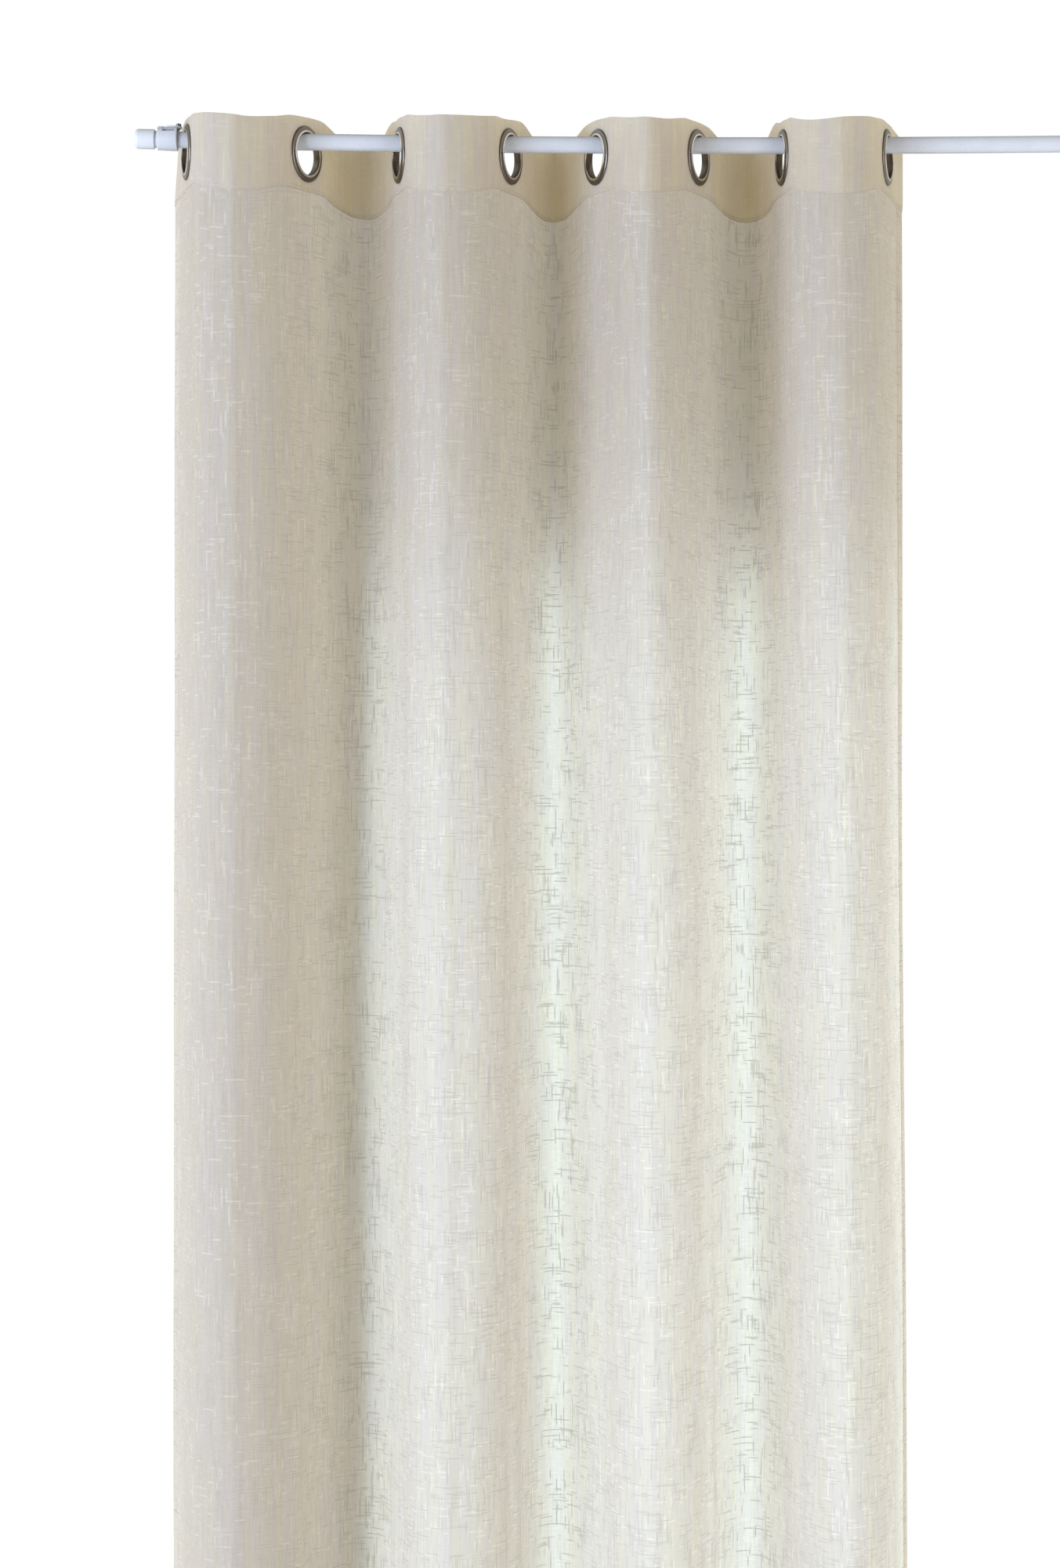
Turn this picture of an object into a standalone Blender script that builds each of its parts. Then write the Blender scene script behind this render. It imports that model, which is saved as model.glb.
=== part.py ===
"""Net curtain with eight eyelet rings, hung on a slim round rod between two wall brackets.

Metres, +Z up. X runs along the rod, the room is towards -Y and the wall is the plane Y = 0.
The origin is on the back of the left bracket's foot, between its two screws. Each object is one
piece of the real thing: cloth panel, heading band, eyelet rings, rod, end caps, brackets, screws.
"""

import math

import bmesh
import bpy
from mathutils import Matrix, Vector
from mathutils.geometry import interpolate_bezier

MM = 0.001
GAP = 0.3 * MM  # clearance between pieces that touch
MERGE_DISTANCE = 0.01 * MM

# Rod
ROD_LENGTH = 1200 * MM
ROD_RADIUS = 8 * MM
ROD_SAG = 6 * MM
ROD_POINTS = 13
ROD_BEVEL_RESOLUTION = 4
WALL_TO_ROD = 100 * MM
ROD_BELOW = 21.8 * MM  # its axis at the brackets, below the origin
ARM_INSET = 25 * MM  # from each end of the rod to the middle of its bracket's arm

# End caps
CAP_RADIUS = 9.5 * MM
CAP_LENGTH = 19.5 * MM
CAP_END_WALL = 2.5 * MM
CAP_ROUNDING = 4 * MM
CAP_ROUNDING_STEPS = 3

# Brackets: a collar round the rod, a flat arm over it and a foot that turns up the wall.
# Heights are above the rod's axis.
COLLAR_LENGTH = 19.6 * MM
COLLAR_INNER = 9 * MM
COLLAR_OUTER = 11.7 * MM  # at its curtain end
COLLAR_OUTER_FAR = 10.8 * MM
COLLAR_OFFSET = 6.8 * MM  # from the arm's middle towards the curtain
COLLAR_RISE = 0.5 * MM  # the rod lies low in its collar
SLOT_LENGTH = 12 * MM
SLOT_HEIGHT = 4 * MM
SLOT_INSET = 2.3 * MM  # from the collar's curtain end
SLOT_CUT_DEPTH = 8 * MM
SLOT_ELEVATION = 44  # degrees above the level, on the room side
ARM_WIDTH = 7 * MM
ARM_THICK = 3.4 * MM
ARM_BOTTOM = 9.9 * MM
ARM_SHORT = 2 * MM  # it stops this far short of the collar's highest line
FOOT_WIDTH = 16 * MM
FOOT_HEIGHT = 22 * MM
FOOT_THICK = 3 * MM
FOOT_CORNER = 5 * MM
FOOT_CORNER_STEPS = 4
BOSS_RADIUS = 3.2 * MM
BOSS_TOP = 12.4 * MM
BOSS_FOOT = 9.9 * MM
BOSS_OVERHANG = 0.7 * MM  # its middle stands this far past the collar's curtain end

# Screws
CLAMP_HEAD_RADIUS = 2.7 * MM
CLAMP_HEAD_HEIGHT = 2.6 * MM
CLAMP_SHANK_RADIUS = 1.5 * MM
CLAMP_SHANK_FOOT = 8.6 * MM  # above the rod's axis
WALL_SCREW_SPREAD = 5.2 * MM
WALL_SCREW_HEAD_RADIUS = 2.8 * MM
WALL_SCREW_HEAD_HEIGHT = 1.6 * MM
WALL_SCREW_SHANK_RADIUS = 1.45 * MM
SHOULDER_HEIGHT = 0.6  # of a screw head's height, where its top starts to round off
SHOULDER_RADIUS = 0.7  # of a screw head's radius, left at its top
SCREW_SEGMENTS = 12
ROUND_SEGMENTS = 24
SHARP_ANGLE = 35  # degrees between two faces, above which their edge is drawn sharp

# Eyelet rings. Both flanges grip the heading, and the barrel goes through its hole.
# RING_SECTION is half of a ring's section, from its bore round to the cloth (mm).
RING_SEGMENTS = 28
RING_INNER = 20 * MM
RING_BARREL_OUTER = 21.4 * MM
RING_SECTION = (
    {"across": 2.6, "radius": 20.0},
    {"across": 3.6, "radius": 21.4},
    {"across": 3.0, "radius": 25.4},
    {"across": 1.5, "radius": 27.0},
    {"across": 1.5, "radius": 21.4},
)

# Cloth
FLAT_WIDTH = 1400 * MM
DROP = 2400 * MM
HEADING_HEIGHT = 69 * MM
HEADING_ABOVE_RING = 33.5 * MM  # from a ring's centre to the top edge
HEADING_THICK = 2.4 * MM
CLOTH_THICK = 1.5 * MM
HEM_THICK = 2.7 * MM
HEM_HEIGHT = 60 * MM
HEM_STEP = 3 * MM
SIDE_MARGIN = 62 * MM  # cloth beyond the middle of each outer ring
FLAT_AT_RING = 28 * MM  # half the stretch that each ring holds flat
CREST_DIP = 10.5 * MM  # how far the top edge sags between two rings, over a fold to the room
TROUGH_DIP = 14 * MM
SAG_POWER = 1.5
EDGE_DIP = 7 * MM  # how far it drops at the free corners
RELAX_DROP = 700 * MM  # the folds take their looser lower form over this drop
PANEL_ROWS = 10
PANEL_ROW_GROWTH = 1.35  # rows stand closer together under the heading
BEND_STEPS = 11
BEND_CURVE_POINTS = 60
MARGIN_STEPS = 3
HEMMED_EDGE_STEPS = 2
EDGE_TURN_AT = 0.3  # the part of the free cloth beyond a ring's flat that still runs straight on
CORNER_CUTS = 3
CORNER_CUT_AT = 0.25
SOLVER_STEPS = 30
CLOTH_SHARP_ANGLE = 50

# One row for each ring, from the left: its place along the rod from the rod's left end (mm),
# how far the cloth in it turns from straight front-to-back (degrees), the same at the bottom of
# the curtain, and how far that crossing has drifted to the right down there (mm).
RINGS = (
    {"name": "ring_1", "along": 51.3, "turn": 14, "low_turn": 16, "drift": -3},
    {"name": "ring_2", "along": 164.5, "turn": 28, "low_turn": 24, "drift": 1},
    {"name": "ring_3", "along": 255.8, "turn": 14, "low_turn": 14, "drift": 2},
    {"name": "ring_4", "along": 360.8, "turn": 23, "low_turn": 16, "drift": 9},
    {"name": "ring_5", "along": 446.0, "turn": 23, "low_turn": 18, "drift": 10},
    {"name": "ring_6", "along": 541.9, "turn": 25, "low_turn": 18, "drift": 19},
    {"name": "ring_7", "along": 624.9, "turn": 8, "low_turn": 14, "drift": 22},
    {"name": "ring_8", "along": 723.8, "turn": 16, "low_turn": 18, "drift": 14},
)

# One row for each bend between two rings: side -1 stands out into the room, +1 goes back to the
# wall, and left is the part of its fullness that lies on its left.
BENDS = (
    {"side": -1, "left": 0.52},
    {"side": 1, "left": 0.48},
    {"side": -1, "left": 0.55},
    {"side": 1, "left": 0.50},
    {"side": -1, "left": 0.52},
    {"side": 1, "left": 0.47},
    {"side": -1, "left": 0.46},
)

# How far the two free edges turn from straight front-to-back, at the top and lower down (degrees)
EDGES = {
    "left": {"turn": 23, "low_turn": 20},
    "right": {"turn": 28, "low_turn": 18},
}

FINISHES = {
    "net_cloth": {"colour": (0.76, 0.73, 0.66, 1), "roughness": 0.9, "metallic": 0.0},
    "heading_cloth": {"colour": (0.70, 0.66, 0.57, 1), "roughness": 0.9, "metallic": 0.0},
    "dark_nickel": {"colour": (0.20, 0.18, 0.16, 1), "roughness": 0.3, "metallic": 1.0},
    "white_lacquer": {"colour": (0.80, 0.82, 0.86, 1), "roughness": 0.35, "metallic": 0.0},
    "white_plastic": {"colour": (0.84, 0.85, 0.88, 1), "roughness": 0.45, "metallic": 0.0},
    "screw_steel": {"colour": (0.30, 0.29, 0.30, 1), "roughness": 0.35, "metallic": 1.0},
}

ROD_LEFT = -ARM_INSET
ROD_Y = -WALL_TO_ROD
ARM_SPAN = ROD_LENGTH - 2 * ARM_INSET  # between the two brackets' arms
ROD_MIDDLE = ARM_SPAN / 2
RING_HANG = RING_INNER - ROD_RADIUS - GAP  # a ring's centre hangs this far below the rod's axis
RING_SPACING = (FLAT_WIDTH - 2 * SIDE_MARGIN) / (len(RINGS) - 1)  # along the cloth
BEND_LENGTH = RING_SPACING - 2 * FLAT_AT_RING

ALONG_X_TO_ROOM = Matrix.Rotation(-math.pi / 2, 4, "Z")
ALONG_X_TO_UP = Matrix.Rotation(-math.pi / 2, 4, "Y")


def clear_scene():
    for old in list(bpy.data.objects):
        bpy.data.objects.remove(old, do_unlink=True)


def finish_named(name):
    """The plain material of one finish, made the first time that it is asked for."""
    found = bpy.data.materials.get(name)
    if found:
        return found
    values = FINISHES[name]
    made = bpy.data.materials.new(name)
    made.use_nodes = True
    shader = made.node_tree.nodes["Principled BSDF"]
    shader.inputs["Base Color"].default_value = values["colour"]
    shader.inputs["Roughness"].default_value = values["roughness"]
    shader.inputs["Metallic"].default_value = values["metallic"]
    made.diffuse_color = values["colour"]
    return made


def add_piece(name, data, finish, place=None):
    data.materials.append(finish_named(finish))
    made = bpy.data.objects.new(name, data)
    bpy.context.collection.objects.link(made)
    if place is not None:
        made.matrix_world = place
    return made


def add_tool(name, mesh, place):
    """A helper for a Boolean: it shapes a piece and is no piece itself."""
    made = bpy.data.objects.new(name, mesh)
    bpy.context.collection.objects.link(made)
    made.matrix_world = place
    made.hide_render = True
    made.display_type = "WIRE"
    return made


def combine(piece, tool, operation):
    step = piece.modifiers.new(tool.name, "BOOLEAN")
    step.operation = operation
    step.solver = "EXACT"
    step.object = tool


def combine_closely(piece, tool, operation):
    """The same for cuts that meet at a fine edge, whose doubled points are then merged."""
    combine(piece, tool, operation)
    merge = piece.modifiers.new("merge_" + tool.name, "WELD")
    merge.merge_threshold = MERGE_DISTANCE


def smooth_round(mesh):
    mesh.shade_smooth()
    mesh.set_sharp_from_angle(angle=math.radians(SHARP_ANGLE))


def turned_mesh(name, profile, segments, is_ring=False):
    """A body turned about +X from (distance along the axis, radius) points.

    A plain profile starts and ends on the axis. A ring's profile is its closed section.
    """
    bm = bmesh.new()
    loops = []
    for along, radius in profile:
        if radius == 0:
            loops.append([bm.verts.new((along, 0, 0))])
            continue
        loop = []
        for step in range(segments):
            angle = 2 * math.pi * step / segments
            loop.append(bm.verts.new((along, radius * math.cos(angle), radius * math.sin(angle))))
        loops.append(loop)
    pairs = list(zip(loops, loops[1:]))
    if is_ring:
        pairs.append((loops[-1], loops[0]))
    for first, second in pairs:
        for step in range(segments):
            after = (step + 1) % segments
            if len(first) == 1:
                bm.faces.new((first[0], second[step], second[after]))
            elif len(second) == 1:
                bm.faces.new((first[step], second[0], first[after]))
            else:
                bm.faces.new((first[step], second[step], second[after], first[after]))
    bmesh.ops.recalc_face_normals(bm, faces=bm.faces)
    mesh = bpy.data.meshes.new(name)
    bm.to_mesh(mesh)
    bm.free()
    return mesh


def cylinder_mesh(name, start, end, radius, segments):
    return turned_mesh(name, ((start, 0), (start, radius), (end, radius), (end, 0)), segments)


def box_mesh(name, size):
    bm = bmesh.new()
    bmesh.ops.create_cube(bm, size=1, matrix=Matrix.Diagonal((*size, 1)))
    mesh = bpy.data.meshes.new(name)
    bm.to_mesh(mesh)
    bm.free()
    return mesh


def rod_height(x):
    """The rod's axis, level at its two brackets, sags between them in a shallow parabola."""
    return -ROD_BELOW - ROD_SAG * (1 - ((x - ROD_MIDDLE) / ROD_MIDDLE) ** 2)


def rod_slope(x):
    return math.atan(2 * ROD_SAG * (x - ROD_MIDDLE) / ROD_MIDDLE**2)


def make_rod():
    end_inset = CAP_END_WALL + GAP
    length = ROD_LENGTH - 2 * end_inset
    curve = bpy.data.curves.new("rod", "CURVE")
    curve.dimensions = "3D"
    curve.bevel_depth = ROD_RADIUS
    curve.bevel_resolution = ROD_BEVEL_RESOLUTION
    curve.use_fill_caps = True
    spline = curve.splines.new("POLY")
    spline.points.add(ROD_POINTS - 1)
    for step, point in enumerate(spline.points):
        x = ROD_LEFT + end_inset + length * step / (ROD_POINTS - 1)
        point.co = (x, ROD_Y, rod_height(x), 1)
    add_piece("rod", curve, "white_lacquer")


def make_cap(name, end_x, inward):
    """A plastic cup over one end of the rod. inward is +1 at the left end and -1 at the right."""
    bore = ROD_RADIUS + GAP
    profile = [(0, 0)]
    for step in range(CAP_ROUNDING_STEPS + 1):
        angle = math.pi / 2 * step / CAP_ROUNDING_STEPS
        along = CAP_ROUNDING * (1 - math.cos(angle))
        radius = CAP_RADIUS - CAP_ROUNDING * (1 - math.sin(angle))
        profile.append((along, radius))
    profile += [(CAP_LENGTH, CAP_RADIUS), (CAP_LENGTH, bore)]
    profile += [(CAP_END_WALL, bore), (CAP_END_WALL, 0)]
    mesh = turned_mesh(name, profile, ROUND_SEGMENTS)
    smooth_round(mesh)
    facing = Matrix.Identity(4) if inward > 0 else Matrix.Rotation(math.pi, 4, "Z")
    tilt = Matrix.Rotation(-rod_slope(end_x), 4, "Y")
    place = Matrix.Translation((end_x, ROD_Y, rod_height(end_x)))
    add_piece(name, mesh, "white_plastic", place @ tilt @ facing)


def foot_mesh(name):
    """An upright plate with round corners, its back against the wall."""
    inset_x = FOOT_WIDTH / 2 - FOOT_CORNER
    inset_z = FOOT_HEIGHT / 2 - FOOT_CORNER
    outline = []
    for quarter, (right, up) in enumerate(((1, 1), (-1, 1), (-1, -1), (1, -1))):
        for step in range(FOOT_CORNER_STEPS + 1):
            angle = math.pi / 2 * (quarter + step / FOOT_CORNER_STEPS)
            x = right * inset_x + FOOT_CORNER * math.cos(angle)
            z = up * inset_z + FOOT_CORNER * math.sin(angle)
            outline.append((x, z))
    bm = bmesh.new()
    back = [bm.verts.new((x, 0, z)) for x, z in outline]
    front = [bm.verts.new((x, -FOOT_THICK, z)) for x, z in outline]
    bm.faces.new(back)
    bm.faces.new(front)
    for step in range(len(outline)):
        after = (step + 1) % len(outline)
        bm.faces.new((back[step], back[after], front[after], front[step]))
    bmesh.ops.recalc_face_normals(bm, faces=bm.faces)
    mesh = bpy.data.meshes.new(name)
    bm.to_mesh(mesh)
    bm.free()
    return mesh


def make_bracket(side, arm_x, inward):
    """One bracket with its arm at arm_x. inward is the way to the curtain, +1 or -1 along X."""
    collar_x = arm_x + inward * COLLAR_OFFSET
    collar_z = COLLAR_RISE - ROD_BELOW
    half = COLLAR_LENGTH / 2
    section = (
        (-half * inward, COLLAR_INNER),
        (-half * inward, COLLAR_OUTER_FAR),
        (half * inward, COLLAR_OUTER),
        (half * inward, COLLAR_INNER),
    )
    mesh = turned_mesh("bracket_" + side, section, ROUND_SEGMENTS, is_ring=True)
    smooth_round(mesh)
    place = Matrix.Translation((collar_x, ROD_Y, collar_z))
    bracket = add_piece("bracket_" + side, mesh, "white_lacquer", place)

    arm_length = WALL_TO_ROD - ARM_SHORT - FOOT_THICK / 2
    arm = box_mesh("arm_" + side, (ARM_WIDTH, arm_length, ARM_THICK))
    arm_middle = ARM_BOTTOM + ARM_THICK / 2 - ROD_BELOW
    at_arm = Matrix.Translation((arm_x, -(FOOT_THICK + arm_length) / 2, arm_middle))
    at_foot = Matrix.Translation((arm_x, 0, 0))
    boss = cylinder_mesh("boss_" + side, BOSS_FOOT, BOSS_TOP, BOSS_RADIUS, SCREW_SEGMENTS)
    boss_x = collar_x + inward * (half + BOSS_OVERHANG)
    at_boss = Matrix.Translation((boss_x, ROD_Y, -ROD_BELOW)) @ ALONG_X_TO_UP
    combine_closely(bracket, add_tool("arm_tool_" + side, arm, at_arm), "UNION")
    combine_closely(bracket, add_tool("foot_tool_" + side, foot_mesh("foot_" + side), at_foot), "UNION")
    combine_closely(bracket, add_tool("boss_tool_" + side, boss, at_boss), "UNION")

    slot = box_mesh("slot_" + side, (SLOT_LENGTH, SLOT_CUT_DEPTH, SLOT_HEIGHT))
    slot_x = collar_x + inward * (half - SLOT_INSET - SLOT_LENGTH / 2)
    slot_place = (
        Matrix.Translation((slot_x, ROD_Y, collar_z))
        @ Matrix.Rotation(math.radians(-SLOT_ELEVATION), 4, "X")
        @ Matrix.Translation((0, -(COLLAR_INNER + COLLAR_OUTER) / 2, 0))
    )
    combine_closely(bracket, add_tool("slot_tool_" + side, slot, slot_place), "DIFFERENCE")
    clamp_hole = cylinder_mesh(
        "clamp_hole_" + side, ROD_RADIUS, BOSS_TOP + MM, CLAMP_SHANK_RADIUS + GAP, SCREW_SEGMENTS
    )
    combine_closely(bracket, add_tool("clamp_hole_tool_" + side, clamp_hole, at_boss), "DIFFERENCE")
    make_clamp_screw(side, at_boss)

    for level, up in (("upper", 1), ("lower", -1)):
        tag = f"{side}_{level}"
        at_screw = Matrix.Translation((arm_x, 0, up * WALL_SCREW_SPREAD)) @ ALONG_X_TO_ROOM
        hole = cylinder_mesh(
            "screw_hole_" + tag, -MM, FOOT_THICK + MM, WALL_SCREW_SHANK_RADIUS + GAP, SCREW_SEGMENTS
        )
        combine_closely(bracket, add_tool("screw_hole_tool_" + tag, hole, at_screw), "DIFFERENCE")
        make_wall_screw("wall_screw_" + tag, at_screw)


def make_clamp_screw(side, place):
    foot = BOSS_TOP + GAP
    top = foot + CLAMP_HEAD_HEIGHT
    profile = (
        (CLAMP_SHANK_FOOT, 0),
        (CLAMP_SHANK_FOOT, CLAMP_SHANK_RADIUS),
        (foot, CLAMP_SHANK_RADIUS),
        (foot, CLAMP_HEAD_RADIUS),
        (foot + CLAMP_HEAD_HEIGHT * SHOULDER_HEIGHT, CLAMP_HEAD_RADIUS),
        (top, CLAMP_HEAD_RADIUS * SHOULDER_RADIUS),
        (top, 0),
    )
    mesh = turned_mesh("clamp_screw_" + side, profile, SCREW_SEGMENTS)
    smooth_round(mesh)
    add_piece("clamp_screw_" + side, mesh, "screw_steel", place)


def make_wall_screw(name, place):
    """Its shank is shown as far as the wall's face."""
    foot = FOOT_THICK + GAP
    top = foot + WALL_SCREW_HEAD_HEIGHT
    profile = (
        (0, 0),
        (0, WALL_SCREW_SHANK_RADIUS),
        (foot, WALL_SCREW_SHANK_RADIUS),
        (foot, WALL_SCREW_HEAD_RADIUS),
        (foot + WALL_SCREW_HEAD_HEIGHT * SHOULDER_HEIGHT, WALL_SCREW_HEAD_RADIUS),
        (top, WALL_SCREW_HEAD_RADIUS * SHOULDER_RADIUS),
        (top, 0),
    )
    mesh = turned_mesh(name, profile, SCREW_SEGMENTS)
    smooth_round(mesh)
    add_piece(name, mesh, "screw_steel", place)


def eased(share):
    share = min(max(share, 0), 1)
    return share * share * (3 - 2 * share)


def leaning(degrees, side):
    """A way to the right that leans from straight forwards (side -1) or straight back (side +1)."""
    angle = math.radians(degrees)
    return Vector((math.sin(angle), side * math.cos(angle)))


def ring_heading(index, turn):
    """The way the cloth runs through ring number index: forwards through every other one."""
    return leaning(turn, -1 if index % 2 == 0 else 1)


def ring_place(ring):
    x = ROD_LEFT + ring["along"] * MM
    return Vector((x, ROD_Y, rod_height(x) - RING_HANG))


def corners_cut(points):
    """The smooth curve that a row of points shapes, from its first point to its last."""
    for _ in range(CORNER_CUTS):
        cut = [points[0]]
        for number, (first, second) in enumerate(zip(points, points[1:])):
            if number > 0:
                cut.append(first.lerp(second, CORNER_CUT_AT))
            if number < len(points) - 2:
                cut.append(first.lerp(second, 1 - CORNER_CUT_AT))
        points = cut + [points[-1]]
    return points


def length_of(points):
    return sum((second - first).length for first, second in zip(points, points[1:]))


def spaced(points, steps):
    """The points that divide a line into equal lengths."""
    total = length_of(points)
    found = [points[0]]
    travelled = 0
    for first, second in zip(points, points[1:]):
        piece = (second - first).length
        while len(found) < steps and travelled + piece >= total * len(found) / steps:
            found.append(first.lerp(second, (total * len(found) / steps - travelled) / piece))
        travelled += piece
    return found + [points[-1]]


def bend_line(start, start_way, end, end_way, bend):
    """The cloth's arch between two rings' flats, as full as its length makes it."""
    shortest = 0
    longest = BEND_LENGTH
    for _ in range(SOLVER_STEPS):
        fullness = (shortest + longest) / 2
        first = start + start_way * 2 * fullness * bend["left"]
        last = end - end_way * 2 * fullness * (1 - bend["left"])
        line = interpolate_bezier(start, first, last, end, BEND_CURVE_POINTS)
        if length_of(line) < BEND_LENGTH:
            shortest = fullness
        else:
            longest = fullness
    return spaced(line, BEND_STEPS)


def edge_line(start, way, turn):
    """The free cloth beyond an outer ring's flat, as it curves round to its own direction."""
    length = SIDE_MARGIN - FLAT_AT_RING
    end_way = leaning(turn, math.copysign(1, way.y))
    end_way.x = math.copysign(end_way.x, way.x)
    middle = start + way * length * EDGE_TURN_AT
    end = middle + end_way * length * (1 - EDGE_TURN_AT)
    return spaced(corners_cut([start, middle, end]), MARGIN_STEPS)


def turn_between(row, loose):
    return row["turn"] + (row["low_turn"] - row["turn"]) * loose


def plan_line(below):
    """The cloth's line seen from above, at a distance below the heading's lower edge."""
    loose = eased(below / RELAX_DROP)
    centres = []
    ways = []
    for index, ring in enumerate(RINGS):
        shift = Vector((ring["drift"] * MM * below / DROP, 0))
        centres.append(ring_place(ring).xy + shift)
        ways.append(ring_heading(index, turn_between(ring, loose)))
    left_turn = turn_between(EDGES["left"], loose)
    right_turn = turn_between(EDGES["right"], loose)
    line = edge_line(centres[0] - ways[0] * FLAT_AT_RING, -ways[0], left_turn)[::-1]
    for index, (centre, way) in enumerate(zip(centres, ways)):
        line += [centre, centre + way * FLAT_AT_RING]
        if index < len(BENDS):
            after = centres[index + 1] - ways[index + 1] * FLAT_AT_RING
            line += bend_line(line[-1], way, after, ways[index + 1], BENDS[index])[1:]
    line += edge_line(line[-1], ways[-1], right_turn)[1:]
    return line


def edge_heights():
    """The heading's top edge at each point of the plan line: level at the rings, sagging between."""
    tops = [ring_place(ring).z + HEADING_ABOVE_RING for ring in RINGS]
    heights = [tops[0] - EDGE_DIP * (1 - step / MARGIN_STEPS) ** 2 for step in range(MARGIN_STEPS)]
    heights.append(tops[0])
    for index, top in enumerate(tops):
        heights += [top, top]
        if index < len(BENDS):
            sag = CREST_DIP if BENDS[index]["side"] < 0 else TROUGH_DIP
            for step in range(1, BEND_STEPS + 1):
                share = step / BEND_STEPS
                level = top + (tops[index + 1] - top) * share
                heights.append(level - sag * math.sin(math.pi * share) ** SAG_POWER)
    for step in range(1, MARGIN_STEPS + 1):
        heights.append(tops[-1] - EDGE_DIP * (step / MARGIN_STEPS) ** 2)
    return heights


def sheet_mesh(name, rows):
    """A closed sheet. Each row holds its plan line, and a height and thickness for each point."""
    bm = bmesh.new()
    faces = {"front": [], "back": []}
    for row in rows:
        line = row["line"]
        last = len(line) - 1
        for side, sign in (("front", 1), ("back", -1)):
            loop = []
            for index, point in enumerate(line):
                way = (line[min(index + 1, last)] - line[max(index - 1, 0)]).normalized()
                off = Vector((way.y, -way.x)) * sign * row["thick"][index] / 2
                loop.append(bm.verts.new((*(point + off), row["heights"][index])))
            faces[side].append(loop)
    front = faces["front"]
    back = faces["back"]
    for loops in (front, back):
        for upper, lower in zip(loops, loops[1:]):
            for index in range(len(upper) - 1):
                bm.faces.new((upper[index], lower[index], lower[index + 1], upper[index + 1]))
    for end in (0, -1):
        upper = front[end]
        lower = back[end]
        for index in range(len(upper) - 1):
            bm.faces.new((upper[index], upper[index + 1], lower[index + 1], lower[index]))
        for row in range(len(rows) - 1):
            bm.faces.new((front[row][end], front[row + 1][end], back[row + 1][end], back[row][end]))
    bmesh.ops.recalc_face_normals(bm, faces=bm.faces)
    mesh = bpy.data.meshes.new(name)
    bm.to_mesh(mesh)
    bm.free()
    mesh.shade_smooth()
    mesh.set_sharp_from_angle(angle=math.radians(CLOTH_SHARP_ANGLE))
    return mesh


def make_heading():
    """The doubled band along the top, flat where the rings grip it, with one hole for each ring."""
    line = plan_line(0)
    tops = edge_heights()
    thick = [HEADING_THICK] * len(line)
    rows = []
    for drop in (0, HEADING_HEIGHT):
        rows.append({"line": line, "heights": [top - drop for top in tops], "thick": thick})
    heading = add_piece("heading_band", sheet_mesh("heading_band", rows), "heading_cloth")
    radius = RING_BARREL_OUTER + GAP
    for index, ring in enumerate(RINGS):
        name = "hole_" + ring["name"]
        hole = cylinder_mesh(name, -HEADING_THICK, HEADING_THICK, radius, RING_SEGMENTS)
        combine(heading, add_tool(name, hole, ring_matrix(index)), "DIFFERENCE")


def ring_matrix(index):
    """A ring's place, with its axis square to the cloth that runs through it."""
    way = ring_heading(index, RINGS[index]["turn"])
    square = math.atan2(way.x, -way.y)
    return Matrix.Translation(ring_place(RINGS[index])) @ Matrix.Rotation(square, 4, "Z")


def make_rings():
    section = [(row["across"] * MM, row["radius"] * MM) for row in RING_SECTION]
    section += [(-across, radius) for across, radius in reversed(section)]
    for index, ring in enumerate(RINGS):
        mesh = turned_mesh(ring["name"], section, RING_SEGMENTS, is_ring=True)
        smooth_round(mesh)
        add_piece(ring["name"], mesh, "dark_nickel", ring_matrix(index))


def make_panel():
    """The net itself, from the heading's lower edge down, with its bottom and side hems thicker."""
    tops = edge_heights()
    height = DROP - HEADING_HEIGHT
    plain_height = height - HEM_HEIGHT - HEM_STEP
    drops = []
    for row in range(PANEL_ROWS + 1):
        drops.append(GAP + (plain_height - GAP) * (row / PANEL_ROWS) ** PANEL_ROW_GROWTH)
    drops += [height - HEM_HEIGHT, height]
    rows = []
    for drop in drops:
        line = plan_line(drop)
        body = HEM_THICK if drop > plain_height else CLOTH_THICK
        thick = [body] * len(line)
        for index in range(HEMMED_EDGE_STEPS):
            thick[index] = HEM_THICK
            thick[-1 - index] = HEM_THICK
        heights = [top - HEADING_HEIGHT - drop for top in tops]
        rows.append({"line": line, "heights": heights, "thick": thick})
    add_piece("curtain_panel", sheet_mesh("curtain_panel", rows), "net_cloth")


clear_scene()
make_rod()
make_cap("end_cap_left", ROD_LEFT, 1)
make_cap("end_cap_right", ROD_LEFT + ROD_LENGTH, -1)
make_bracket("left", 0, 1)
make_bracket("right", ARM_SPAN, -1)
make_rings()
make_heading()
make_panel()
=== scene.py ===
import math

import bmesh
import bpy
from mathutils import Matrix, Vector, noise
from mathutils.geometry import interpolate_bezier


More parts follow.
